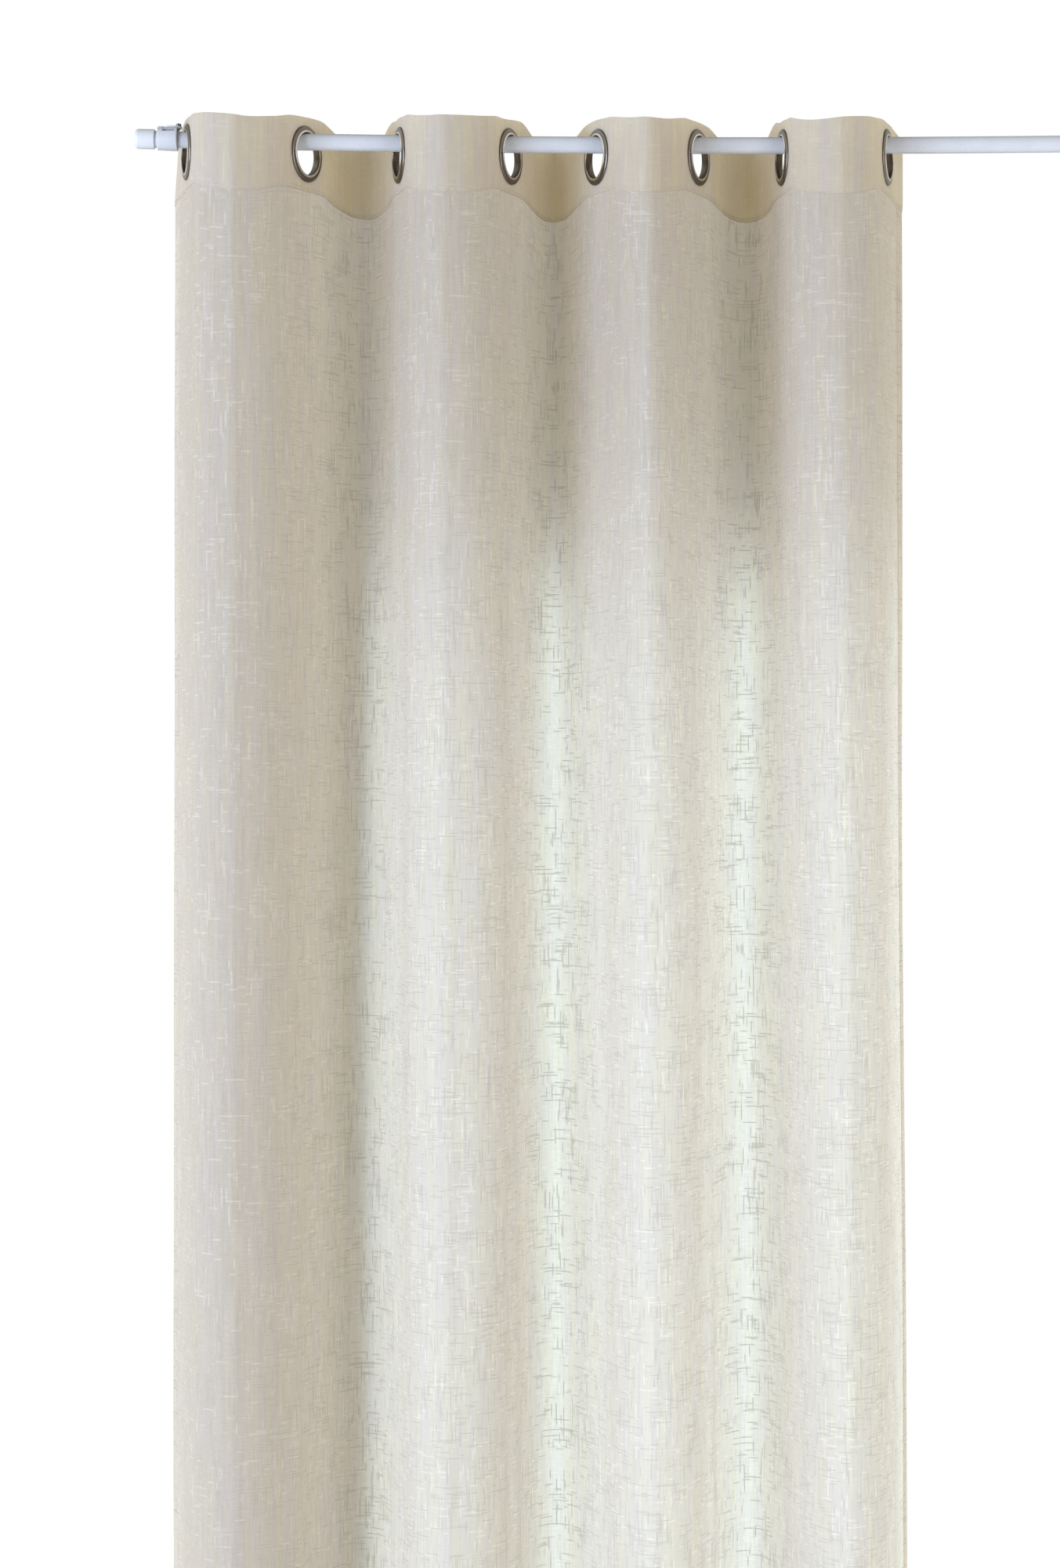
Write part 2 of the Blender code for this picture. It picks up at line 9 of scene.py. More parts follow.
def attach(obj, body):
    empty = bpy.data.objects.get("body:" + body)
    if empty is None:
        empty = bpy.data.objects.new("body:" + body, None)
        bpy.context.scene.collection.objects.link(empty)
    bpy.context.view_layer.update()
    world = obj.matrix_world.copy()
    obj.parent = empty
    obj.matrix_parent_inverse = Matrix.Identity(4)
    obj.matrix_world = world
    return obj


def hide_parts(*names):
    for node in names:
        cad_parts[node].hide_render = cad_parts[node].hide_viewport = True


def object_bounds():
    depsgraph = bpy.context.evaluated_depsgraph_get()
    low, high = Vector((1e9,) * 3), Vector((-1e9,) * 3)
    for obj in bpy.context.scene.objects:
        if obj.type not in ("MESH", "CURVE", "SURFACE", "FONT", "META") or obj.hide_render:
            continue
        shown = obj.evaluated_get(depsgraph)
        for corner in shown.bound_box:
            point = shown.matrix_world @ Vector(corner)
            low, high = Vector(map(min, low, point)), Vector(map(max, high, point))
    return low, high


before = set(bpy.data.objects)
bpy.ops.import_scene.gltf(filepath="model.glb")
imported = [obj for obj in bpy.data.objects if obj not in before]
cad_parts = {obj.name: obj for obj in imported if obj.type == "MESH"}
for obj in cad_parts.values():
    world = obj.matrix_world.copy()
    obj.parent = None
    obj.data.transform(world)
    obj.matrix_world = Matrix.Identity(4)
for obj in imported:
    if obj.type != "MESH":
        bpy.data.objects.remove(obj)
cadLow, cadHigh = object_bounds()
mm = 0.001
scene = bpy.context.scene


# A table: its columns' names, then its rows
def table(names, *rows):
    return [dict(zip(names.split(), row)) for row in rows]


# The rod's line: level at its two brackets, sagging between them
rodLine = {
    "wallDistance": 100 * mm,
    "endInset": 25 * mm,  # from each end to the middle of its bracket
    "length": 1200 * mm,
    "radius": 8 * mm,
    "below": 21.8 * mm,  # its axis at the brackets, below the origin on the left bracket's foot
    "sag": 6 * mm,
}
rodY = -rodLine["wallDistance"]
rodLeft = -rodLine["endInset"]
armSpan = rodLine["length"] - 2 * rodLine["endInset"]
rodMiddle = armSpan / 2


def rodHeight(x):
    return -rodLine["below"] - rodLine["sag"] * (1 - ((x - rodMiddle) / rodMiddle) ** 2)


def rodSlope(x):
    return math.atan(2 * rodLine["sag"] * (x - rodMiddle) / rodMiddle**2)


# The cloth, cut flat, and how it turns round its folds
cloth = {
    "width": 1400 * mm,
    "drop": 2400 * mm,
    "headingHeight": 69 * mm,
    "headingAboveRing": 33.5 * mm,
    "sideMargin": 62 * mm,  # beyond the middle of each outer ring
    "flatAtRing": 28 * mm,  # held flat each way from a ring's middle
    "ringHang": 11.7 * mm,  # a ring's middle below the rod's axis
    "crestDip": 10.5 * mm,  # the top edge's sag between two rings
    "troughDip": 14 * mm,
    "edgeDip": 7 * mm,
    "relaxDrop": 700 * mm,  # how far down the turns at the rings ease into the low ones
    "edgeTurnAt": 0.3,  # where a free edge bends, as a share of its margin
    "step": 3.5 * mm,  # between two columns of points
    "curvePoints": 60,
    "sharpAngle": 50,
    "cornerCuts": 4,
    "solverSteps": 18,
}

# Each ring: its place from the rod's left end (mm), the cloth's turn in it at the top and far
# below (degrees), and how far it has drifted to the right at the bottom (mm)
ringRows = table(
    "along turn lowTurn drift",
    (51.3, 14, 16, -3),
    (164.5, 28, 24, 1),
    (255.8, 14, 14, 2),
    (360.8, 23, 16, 9),
    (446.0, 23, 18, 10),
    (541.9, 25, 18, 19),
    (624.9, 8, 14, 22),
    (723.8, 16, 18, 14),
)

# Each bend between two rings: out into the room (-1) or back to the wall (+1), how much of its
# fullness is on its left, and its soft crease: where it is, how far it stands out and how wide it
# is (mm)
bendRows = table(
    "side left creaseAt rise width",
    (-1, 0.52, 0.47, 2.0, 7),
    (1, 0.48, 0.50, 0.8, 9),
    (-1, 0.55, 0.44, 2.0, 7),
    (1, 0.50, 0.50, 0.8, 9),
    (-1, 0.52, 0.46, 1.8, 7),
    (1, 0.47, 0.50, 0.8, 9),
    (-1, 0.46, 0.52, 1.8, 7),
)
# Each free edge's turn at the top and far below (degrees)
edgeRows = {"left": {"turn": 23, "lowTurn": 20}, "right": {"turn": 28, "lowTurn": 18}}

ringSpacing = (cloth["width"] - 2 * cloth["sideMargin"]) / (len(ringRows) - 1)
bendLength = ringSpacing - 2 * cloth["flatAtRing"]
marginLength = cloth["sideMargin"] - cloth["flatAtRing"]
panelHeight = cloth["drop"] - cloth["headingHeight"]


def stepsIn(length):
    return round(length / cloth["step"])


def eased(share):
    share = min(max(share, 0), 1)
    return share * share * (3 - 2 * share)


def leaning(degrees, side):
    angle = math.radians(degrees)
    return Vector((math.sin(angle), side * math.cos(angle)))


def ringWay(index, turn):
    return leaning(turn, -1 if index % 2 == 0 else 1)


def ringPlace(row):
    x = rodLeft + row["along"] * mm
    return Vector((x, rodY, rodHeight(x) - cloth["ringHang"]))


def turnAt(row, loose):
    return row["turn"] + (row["lowTurn"] - row["turn"]) * loose


def cornersCut(points):
    for cut in range(cloth["cornerCuts"]):
        softer = [points[0]]
        for number, (first, second) in enumerate(zip(points, points[1:])):
            if number > 0:
                softer.append(first.lerp(second, 0.25))
            if number < len(points) - 2:
                softer.append(first.lerp(second, 0.75))
        points = softer + [points[-1]]
    return points


def lengthOf(points):
    return sum((second - first).length for first, second in zip(points, points[1:]))


def spaced(points, steps):
    total = lengthOf(points)
    found = [points[0]]
    travelled = 0
    for first, second in zip(points, points[1:]):
        piece = (second - first).length
        while len(found) < steps and travelled + piece >= total * len(found) / steps:
            found.append(first.lerp(second, (total * len(found) / steps - travelled) / piece))
        travelled += piece
    return found + [points[-1]]


# Each point's outward way from the cloth's face, towards the room on a fold that stands out
def faceWays(line):
    last = len(line) - 1
    found = []
    for index in range(len(line)):
        way = (line[min(index + 1, last)] - line[max(index - 1, 0)]).normalized()
        found.append(Vector((way.y, -way.x)))
    return found


# A bend between two rings, as full as its length of cloth asks
def bendLine(start, startWay, end, endWay, bend):
    shortest = 0
    longest = bendLength
    for step in range(cloth["solverSteps"]):
        fullness = (shortest + longest) / 2
        first = start + startWay * 2 * fullness * bend["left"]
        last = end - endWay * 2 * fullness * (1 - bend["left"])
        line = interpolate_bezier(start, first, last, end, cloth["curvePoints"])
        if lengthOf(line) < bendLength:
            shortest = fullness
        else:
            longest = fullness
    steps = stepsIn(bendLength)
    line = spaced(line, steps)
    for step, face in enumerate(faceWays(line)):
        apart = (step / steps - bend["creaseAt"]) * bendLength / (bend["width"] * mm)
        line[step] -= face * bend["side"] * bend["rise"] * mm * math.exp(-apart * apart)
    return line


def edgeLine(start, way, turn):
    endWay = leaning(turn, math.copysign(1, way.y))
    endWay.x = math.copysign(endWay.x, way.x)
    middle = start + way * marginLength * cloth["edgeTurnAt"]
    end = middle + endWay * marginLength * (1 - cloth["edgeTurnAt"])
    return spaced(cornersCut([start, middle, end]), stepsIn(marginLength))


# The cloth's line seen from above, at a distance below the heading's lower edge
def planLine(below):
    loose = eased(below / cloth["relaxDrop"])
    flat = cloth["flatAtRing"]
    centres = []
    ways = []
    for index, row in enumerate(ringRows):
        drift = Vector((row["drift"] * mm * below / cloth["drop"], 0))
        centres.append(ringPlace(row).xy + drift)
        ways.append(ringWay(index, turnAt(row, loose)))
    line = edgeLine(centres[0] - ways[0] * flat, -ways[0], turnAt(edgeRows["left"], loose))[::-1]
    for index, (centre, way) in enumerate(zip(centres, ways)):
        line += spaced([line[-1], centre + way * flat], stepsIn(2 * flat))[1:]
        if index < len(bendRows):
            after = centres[index + 1] - ways[index + 1] * flat
            line += bendLine(line[-1], way, after, ways[index + 1], bendRows[index])[1:]
    line += edgeLine(line[-1], ways[-1], turnAt(edgeRows["right"], loose))[1:]
    return line


# The heading's top edge over each point of the plan line: level at the rings, dipping between
def topEdge():
    tops = [ringPlace(row).z + cloth["headingAboveRing"] for row in ringRows]
    margin = stepsIn(marginLength)
    bend = stepsIn(bendLength)
    heights = [tops[0] - cloth["edgeDip"] * (1 - step / margin) ** 2 for step in range(margin)]
    heights.append(tops[0])
    for index, top in enumerate(tops):
        heights += [top] * stepsIn(2 * cloth["flatAtRing"])
        if index < len(bendRows):
            sag = cloth["crestDip"] if bendRows[index]["side"] < 0 else cloth["troughDip"]
            for step in range(1, bend + 1):
                share = step / bend
                level = top + (tops[index + 1] - top) * share
                heights.append(level - sag * math.sin(math.pi * share) ** 1.5)
    heights += [tops[-1] - cloth["edgeDip"] * (step / margin) ** 2 for step in range(1, margin + 1)]
    return heights


# Soft folds that run down a stretch of the cloth, away from its main bends: where they are from
# the left edge (m), where they start below the heading and are full (m), how far they stand out
# from the cloth's face (mm) and how wide they are (mm)
softFolds = table(
    "across starts full rise width",
    (0.222, 0.50, 1.10, 5.0, 13),
    (0.262, 0.35, 1.00, -3.0, 16),
    (0.135, 0.10, 0.80, 1.6, 12),
    (0.505, 0.25, 0.90, 1.8, 12),
    (0.610, 0.60, 1.40, 3.5, 14),
    (0.870, 0.20, 0.90, 2.0, 12),
    (0.985, 0.55, 1.30, 3.0, 13),
    (1.235, 0.30, 1.00, 1.8, 12),
    (1.330, 0.70, 1.50, 2.6, 14),
)
clothLife = {
    "rise": 1.7 * mm,  # of the slow unevenness, at its fullest
    "acrossEach": 55 * mm,
    "downEach": 420 * mm,
    "fullBelow": 500 * mm,
    "pucker": 0.35 * mm,  # of the small ripples under the heading's seam
    "puckerAcross": 15 * mm,
    "puckerDown": 200 * mm,
    "puckerReach": 45 * mm,
    "seeds": (3.1, 7.7),
}


def unevenness(across, below):
    life = clothLife
    slow = noise.noise((across / life["acrossEach"], below / life["downEach"], life["seeds"][0]))
    offset = slow * life["rise"] * eased(below / life["fullBelow"])
    ripple = noise.noise((across / life["puckerAcross"], below / life["puckerDown"], life["seeds"][1]))
    offset += ripple * life["pucker"] * math.exp(-below / life["puckerReach"])
    for fold in softFolds:
        grown = eased((below - fold["starts"]) / (fold["full"] - fold["starts"]))
        if grown > 0:
            apart = (across - fold["across"]) / (fold["width"] * mm)
            offset += fold["rise"] * mm * grown * math.exp(-apart * apart)
    return offset


# Meshes and objects
def smooth(mesh, sharpAngle):
    mesh.shade_smooth()
    mesh.set_sharp_from_angle(angle=math.radians(sharpAngle))


def finishMesh(name, bm, sharpAngle=180):
    mesh = bpy.data.meshes.new(name)
    bm.to_mesh(mesh)
    bm.free()
    smooth(mesh, sharpAngle)
    return mesh


def addObject(name, data):
    made = bpy.data.objects.new(name, data)
    scene.collection.objects.link(made)
    return made


def addPiece(name, data, material, slot, *nodes):
    piece = addObject(name, data)
    if not data.materials:
        data.materials.append(material)
    if nodes:
        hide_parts(*nodes)
    return piece


def movedTo(x, y, z):
    return Matrix.Translation((x, y, z))


def turnedBy(angle, axis):
    return Matrix.Rotation(angle, 4, axis)


# Joins a tool's shape to a piece or cuts it out
def cutWith(piece, operation, mesh, place=Matrix.Identity(4)):
    tool = addObject(mesh.name, mesh)
    tool.matrix_world = place
    step = piece.modifiers.new(mesh.name, "BOOLEAN")
    step.operation = operation
    step.solver = "EXACT"
    step.object = tool
    bpy.context.view_layer.update()
    shaped = piece.evaluated_get(bpy.context.evaluated_depsgraph_get())
    mesh = bpy.data.meshes.new_from_object(shaped)
    mesh.name = piece.data.name
    piece.modifiers.clear()
    piece.data = mesh
    bpy.data.objects.remove(tool, do_unlink=True)


# The faces between two loops of points, each with its corners' places round and along. A loop
# that is one point, named once for each corner, gets triangles.
def bridge(bm, first, second):
    found = []
    for step in range(len(first)):
        after = (step + 1) % len(first)
        corners = [first[step], second[step], second[after], first[after]]
        spots = [(step, 0), (step, 1), (step + 1, 1), (step + 1, 0)]
        kept = [spot for spot, corner in enumerate(corners) if corner not in corners[:spot]]
        face = bm.faces.new([corners[spot] for spot in kept])
        found.append((face, [spots[spot] for spot in kept]))
    return found


# A body turned about X from points (distance along the axis, radius). A ring's points are its
# closed section. Its UV map holds the way round and the way along the section, in metres.
def turnedMesh(name, profile, segments, isRing=False, sharpAngle=40):
    bm = bmesh.new()
    turned = bm.loops.layers.uv.new("turned")
    angles = [2 * math.pi * step / segments for step in range(segments)]
    loops = []
    for along, radius in profile:
        if radius == 0:
            loops.append([bm.verts.new((along, 0, 0))] * segments)
        else:
            spots = [(along, radius * math.cos(angle), radius * math.sin(angle)) for angle in angles]
            loops.append([bm.verts.new(spot) for spot in spots])
    travelled = [0]
    for first, second in zip(profile, profile[1:] + profile[:1]):
        travelled.append(travelled[-1] + math.dist(first, second))
    if isRing:
        loops.append(loops[0])
    widest = max(radius for along, radius in profile)
    for number, (first, second) in enumerate(zip(loops, loops[1:])):
        for face, spots in bridge(bm, first, second):
            for loop, (turn, side) in zip(face.loops, spots):
                loop[turned].uv = (2 * math.pi * widest * turn / segments, travelled[number + side])
    bmesh.ops.recalc_face_normals(bm, faces=bm.faces)
    return finishMesh(name, bm, sharpAngle)


def plainTurned(start, end, radius):
    return [(start, 0), (start, radius), (end, radius), (end, 0)]


def boxMesh(name, size, edge=0.0):
    bm = bmesh.new()
    bmesh.ops.create_cube(bm, size=1, matrix=Matrix.Diagonal((*size, 1)))
    if edge:
        bmesh.ops.bevel(bm, geom=bm.edges[:], offset=edge, segments=3, profile=0.5, affect="EDGES")
    return finishMesh(name, bm)


# Nodes. A source is another node's socket or a fixed value.
def feed(sockets, sources):
    for key, source in sources.items() if isinstance(sources, dict) else enumerate(sources):
        if isinstance(source, bpy.types.NodeSocket):
            source.id_data.links.new(source, sockets[key])
        else:
            sockets[key].default_value = source


def addNode(tree, kind, *sources, **settings):
    made = tree.nodes.new("ShaderNode" + kind)
    for key, value in settings.items():
        setattr(made, key, value)
    feed(made.inputs, sources)
    return made


# The tree that the sources are in
def treeOf(sources):
    return next(source.id_data for source in sources if isinstance(source, bpy.types.NodeSocket))


def nodeOf(kind, *sources, **settings):
    return addNode(treeOf(sources), kind, *sources, **settings)


def mathOf(operation, *sources, clamp=False):
    return nodeOf("Math", *sources, operation=operation, use_clamp=clamp).outputs[0]


def vectorOf(operation, *sources):
    return nodeOf("VectorMath", *sources, operation=operation).outputs


def rampOf(value, low, high, toLow=0.0, toHigh=1.0):
    sources = (value, low, high, toLow, toHigh)
    return nodeOf("MapRange", *sources, interpolation_type="SMOOTHSTEP").outputs[0]


def noiseOf(vector, stretch, detail=1.0):
    made = nodeOf("TexNoise", vectorOf("MULTIPLY", vector, stretch)[0])
    feed(made.inputs, {"Scale": 1, "Detail": detail})
    return made.outputs[0]


def mixOf(share, first, second, blend="MIX"):
    made = addNode(treeOf((share, first, second)), "Mix", data_type="RGBA", blend_type=blend)
    feed(made.inputs, {"Factor": share, "A": first, "B": second})
    return made.outputs["Result"]


def bumpOf(height, relief, strength):
    made = addNode(height.id_data, "Bump")
    feed(made.inputs, {"Strength": strength, "Distance": relief, "Height": height})
    return made.outputs[0]


# A group's inputs are (name, kind, value); all its outputs are plain numbers
def startGroup(name, inputs, outputs):
    tree = bpy.data.node_groups.new(name, "ShaderNodeTree")
    for label, kind, value in inputs:
        socket = tree.interface.new_socket(name=label, in_out="INPUT", socket_type="NodeSocket" + kind)
        if value is not None:
            socket.default_value = value
    for label in outputs:
        tree.interface.new_socket(name=label, in_out="OUTPUT", socket_type="NodeSocketFloat")
    return tree, tree.nodes.new("NodeGroupInput").outputs, tree.nodes.new("NodeGroupOutput").inputs


def placeGroup(tree, group, **sources):
    made = addNode(tree, "Group", node_tree=group)
    feed(made.inputs, sources)
    return made.outputs


def startMaterial(name):
    material = bpy.data.materials.new(name)
    material.use_nodes = True
    tree = material.node_tree
    return material, tree, tree.nodes["Principled BSDF"]


# Slub weave: fine threads both ways, and thicker slubs in them that start and stop, in patches
slubLook = {
    "threadPitch": 0.62 * mm,
    "threadHeight": 0.16,  # this and the next are shares of the cloth's relief
    "slubHeight": 0.6,
    "sway": 0.4 * mm,  # how far the threads wander
    "swayEach": 150 * mm,
    "warpEach": (1.6 * mm, 34 * mm),  # unevenness between the fine threads, across and along
    "weftEach": (15 * mm, 1.6 * mm),
    "warpShare": 0.6,
    "weftShare": 0.4,
    "streakEach": (3.4 * mm, 75 * mm),
    "bandEach": (8.5 * mm, 150 * mm),
    "laneApart": 3.73,  # between two lanes' places in the noise
    "edge": (0.20, 0.46),  # a slub's soft edge, in shares of its lane from its middle
    "patchPull": 0.30,
    "calm": (-0.06, 0.10, 0.30, 1.0),  # how strongly the fine threads show, patch by patch
}
# Thick soft threads, and thinner ones that stop the light: the room of one, its length
# upright and level, how strong a noise must be for one to start, and where the patches are
thickSlubs = {
    "lane": 2.3 * mm,
    "uprightLong": 26 * mm,
    "levelLong": 19 * mm,
    "starts": (0.635, 0.70),
    "patch": (42 * mm, 65 * mm),
    "seeds": (0.37, 7.61, 1),
}
denseSlubs = {
    "lane": 1.45 * mm,
    "uprightLong": 30 * mm,
    "levelLong": 24 * mm,
    "starts": (0.605, 0.67),
    "patch": (26 * mm, 34 * mm),
    "seeds": (3.19, 5.43, 9),
}


# Slubs in lanes across one way, each running along the other
def slubDashes(slubs, across, along, long, seed, pull):
    lanes = mathOf("DIVIDE", across, slubs["lane"])
    lane = mathOf("MULTIPLY", mathOf("FLOOR", lanes), slubLook["laneApart"])
    place = nodeOf("CombineXYZ", lane, mathOf("DIVIDE", along, long), seed).outputs[0]
    grown = mathOf("ADD", noiseOf(place, (1, 1, 1)), pull)
    apart = mathOf("ABSOLUTE", mathOf("SUBTRACT", mathOf("FRACT", lanes), 0.5))
    narrow = rampOf(apart, *slubLook["edge"], 1.0, 0.0)
    return mathOf("MULTIPLY", rampOf(grown, *slubs["starts"]), narrow)


# Both ways together, gathered in patches, and the patches
def slubsOf(slubs, at, across, along):
    first, second, third = slubs["seeds"]
    patch = (1 / slubs["patch"][0], 1 / slubs["patch"][1], third)
    patches = mathOf("SUBTRACT", noiseOf(at, patch, 2.0), 0.5)
    pull = mathOf("MULTIPLY", patches, slubLook["patchPull"])
    upright = slubDashes(slubs, across, along, slubs["uprightLong"], first, pull)
    level = slubDashes(slubs, along, across, slubs["levelLong"], second, pull)
    return mathOf("MAXIMUM", upright, level), patches


def makeSlubGroup():
    look = slubLook
    inputs = (("Cloth", "Vector", None), ("Seed", "Float", 0.0))
    labels = ("Slubs", "Dense", "Threads", "Streaks", "Bands", "Height")
    tree, given, result = startGroup("slubWeave", inputs, labels)
    at = vectorOf("ADD", given["Cloth"], given["Seed"])[0]
    parts = nodeOf("SeparateXYZ", at).outputs
    swayed = []
    for part, seed in (("X", 1), ("Y", 5)):
        each = (1 / look["swayEach"], 1 / look["swayEach"], seed)
        sway = mathOf("SUBTRACT", noiseOf(at, each), 0.5)
        swayed.append(mathOf("MULTIPLY_ADD", sway, look["sway"], parts[part]))
    slubs = slubsOf(thickSlubs, at, *swayed)[0]
    dense, patches = slubsOf(denseSlubs, at, *swayed)
    warp, weft, streaks, bands = (
        noiseOf(at, (1 / look[key][0], 1 / look[key][1], seed))
        for key, seed in (("warpEach", 2), ("weftEach", 3), ("streakEach", 1), ("bandEach", 4))
    )
    threads = mathOf("MULTIPLY_ADD", warp, look["warpShare"], -0.5)
    threads = mathOf("MULTIPLY_ADD", weft, look["weftShare"], threads)
    threads = mathOf("MULTIPLY_ADD", threads, rampOf(patches, *look["calm"]), 0.5)
    turn = 2 * math.pi / look["threadPitch"]
    over, under = (mathOf("SINE", mathOf("MULTIPLY", parts[part], turn)) for part in "XY")
    crossings = mathOf("MULTIPLY", over, under)
    height = mathOf("MULTIPLY_ADD", crossings, look["threadHeight"], look["threadHeight"])
    height = mathOf("MULTIPLY_ADD", slubs, look["slubHeight"], height)
    feed(result, (slubs, dense, threads, streaks, bands, height))
    return tree


# What the panel's and the heading's cloth share: where the weave's masks begin and are full
clothLook = {
    "threads": (0.40, 0.58),
    "streaks": (0.62, 0.36),
    "bands": (0.44, 0.56),
    "fullSlub": 0.8,  # a slub this strong covers all
    "roughness": 0.92,
    "specular": 0.2,
    "relief": 0.3 * mm,
}
netLook = {
    "body": (0.510, 0.466, 0.416, 1),
    "thin": (0.480, 0.436, 0.384, 1),  # where its threads are finer
    "slub": (0.630, 0.580, 0.528, 1),
    "dense": (0.630, 0.568, 0.480, 1),
    "streak": (0.93, 0.925, 0.91, 1),  # this and the next two multiply the body
    "cool": (0.975, 0.965, 1.0, 1),
    "warm": (1.0, 0.989, 0.972, 1),
    "through": (0.86, 0.765, 0.61, 1),
    "throughThin": (0.75, 0.665, 0.525, 1),
    "throughDense": (0.39, 0.355, 0.29, 1),
    "throughShare": 0.42,  # of the light that meets the cloth
    "cover": 0.95,  # how much of what is behind the bare weave hides
    "hem": (0.67, 0.62, 0.55, 1),
    "bump": 0.25,
    "seed": 0.0,
}
headingLook = {
    "body": (0.580, 0.562, 0.555, 1),
    "thin": (0.550, 0.532, 0.525, 1),
    "slub": (0.612, 0.592, 0.585, 1),
    "dense": (0.600, 0.578, 0.560, 1),
    "streak": (0.95, 0.945, 0.93, 1),
    "cool": (0.975, 0.97, 1.0, 1),
    "warm": (1.0, 0.995, 0.96, 1),
    "through": (1.0, 0.88, 0.63, 1),
    "throughThin": (0.95, 0.83, 0.585, 1),
    "throughDense": (0.92, 0.80, 0.565, 1),
    "throughShare": 0.50,
    "cover": 0.94,
    "bump": 0.2,
    "seed": 4.3,
}


def makeCloth(name, look, slubGroup):
    material, tree, shader = startMaterial(name)
    material.use_transparent_shadow = False
    flat = addNode(tree, "UVMap", uv_map="flatCloth").outputs[0]
    weave = placeGroup(tree, slubGroup, Cloth=flat, Seed=look["seed"])
    threads = rampOf(weave["Threads"], *clothLook["threads"])
    body = mixOf(threads, look["thin"], look["body"])
    if "hem" in look:
        doubled = addNode(tree, "UVMap", uv_map="doubledCloth").outputs[0]
        body = mixOf(nodeOf("SeparateXYZ", doubled).outputs["X"], body, look["hem"])
    body = mixOf(weave["Slubs"], body, look["slub"])
    body = mixOf(weave["Dense"], body, look["dense"])
    streaks = rampOf(weave["Streaks"], *clothLook["streaks"])
    body = mixOf(streaks, body, look["streak"], "MULTIPLY")
    tint = mixOf(rampOf(weave["Bands"], *clothLook["bands"]), look["cool"], look["warm"])
    bump = bumpOf(weave["Height"], clothLook["relief"], look["bump"])
    feed(shader.inputs, {
        "Base Color": mixOf(1.0, body, tint, "MULTIPLY"),
        "Alpha": rampOf(weave["Slubs"], 0.0, clothLook["fullSlub"], look["cover"], 1.0),
        "Roughness": clothLook["roughness"],
        "Specular IOR Level": clothLook["specular"],
        "Normal": bump,
    })
    passed = mixOf(threads, look["throughThin"], look["through"])
    passed = mixOf(1.0, passed, tint, "MULTIPLY")
    passed = mixOf(weave["Dense"], passed, look["throughDense"])
    through = nodeOf("BsdfTranslucent", passed, bump).outputs[0]
    lit = nodeOf("MixShader", look["throughShare"], shader.outputs[0], through)
    feed(tree.nodes["Material Output"].inputs, {"Surface": lit.outputs[0]})
    return material


# Small unevenness that lacquer, plastic and metal share: dimples, streaks and dust
handledLook = {"cloudy": (45, 45, 45), "detail": 3.0, "toRough": (0.35, 0.65), "toTone": (0.3, 0.7)}


def makeFinishGroup():
    look = handledLook
    inputs = (
        ("At", "Vector", None),
        ("Grain", "Vector", (1.0, 1.0, 1.0)),
        ("Low", "Float", 0.3),
        ("High", "Float", 0.5),
    )
    tree, given, result = startGroup("handledFinish", inputs, ("Roughness", "Tone", "Height"))
    scaled = vectorOf("MULTIPLY", given["At"], given["Grain"])[0]
    grain = noiseOf(scaled, (1, 1, 1), look["detail"])
    cloudy = noiseOf(given["At"], look["cloudy"], look["detail"])
    both = mathOf("MULTIPLY_ADD", cloudy, 0.5, mathOf("MULTIPLY", grain, 0.5))
    rough = rampOf(both, *look["toRough"], given["Low"], given["High"])
    feed(result, (rough, rampOf(both, *look["toTone"]), grain))
    return tree


hardLooks = {
    "whiteLacquer": {
        "clean": (0.56, 0.56, 0.585, 1), "dull": (0.52, 0.52, 0.545, 1), "roughness": (0.26, 0.36),
        "metallic": 0.0, "coat": 0.3, "bump": 0.12, "grain": (900, 900, 900),
    },
    "whitePlastic": {
        "clean": (0.58, 0.59, 0.605, 1), "dull": (0.545, 0.55, 0.57, 1), "roughness": (0.30, 0.42),
        "metallic": 0.0, "coat": 0.1, "bump": 0.10, "grain": (1500, 1500, 1500),
    },
    "screwSteel": {
        "clean": (0.34, 0.33, 0.34, 1), "dull": (0.22, 0.21, 0.22, 1), "roughness": (0.22, 0.40),
        "metallic": 1.0, "coat": 0.0, "bump": 0.15, "grain": (1400, 1400, 5000),
    },
}
hardRelief = 0.05 * mm
coatRoughness = 0.12


def makeHard(name, look, finishGroup):
    material, tree, shader = startMaterial(name)
    place = addNode(tree, "TexCoord").outputs["Object"]
    low, high = look["roughness"]
    worn = placeGroup(tree, finishGroup, At=place, Grain=look["grain"], Low=low, High=high)
    feed(shader.inputs, {
        "Base Color": mixOf(worn["Tone"], look["dull"], look["clean"]),
        "Roughness": worn["Roughness"],
        "Metallic": look["metallic"],
        "Coat Weight": look["coat"],
        "Coat Roughness": coatRoughness,
        "Normal": bumpOf(worn["Height"], hardRelief, look["bump"]),
    })
    return material


# Dark nickel, brushed round the ring, with a painted highlight: its bead is coloured bright all round
# and made a little smoother
nickelLook = {
    "face": (0.225, 0.190, 0.160, 1),
    "dark": (0.115, 0.095, 0.080, 1),
    # painted highlight: the bead's bright colour stands in for the lamps' reflections on it
    "beadHighlight": (0.62, 0.58, 0.54, 1),
    "beadAt": 21.6 * mm,
    "beadReach": 1.3 * mm,
    "roughness": (0.24, 0.40),
    "smoother": 0.12,  # the bead's roughness is less by this
    "grain": (60, 6000, 1),
    "relief": 0.04 * mm,
    "bump": 0.2,
}


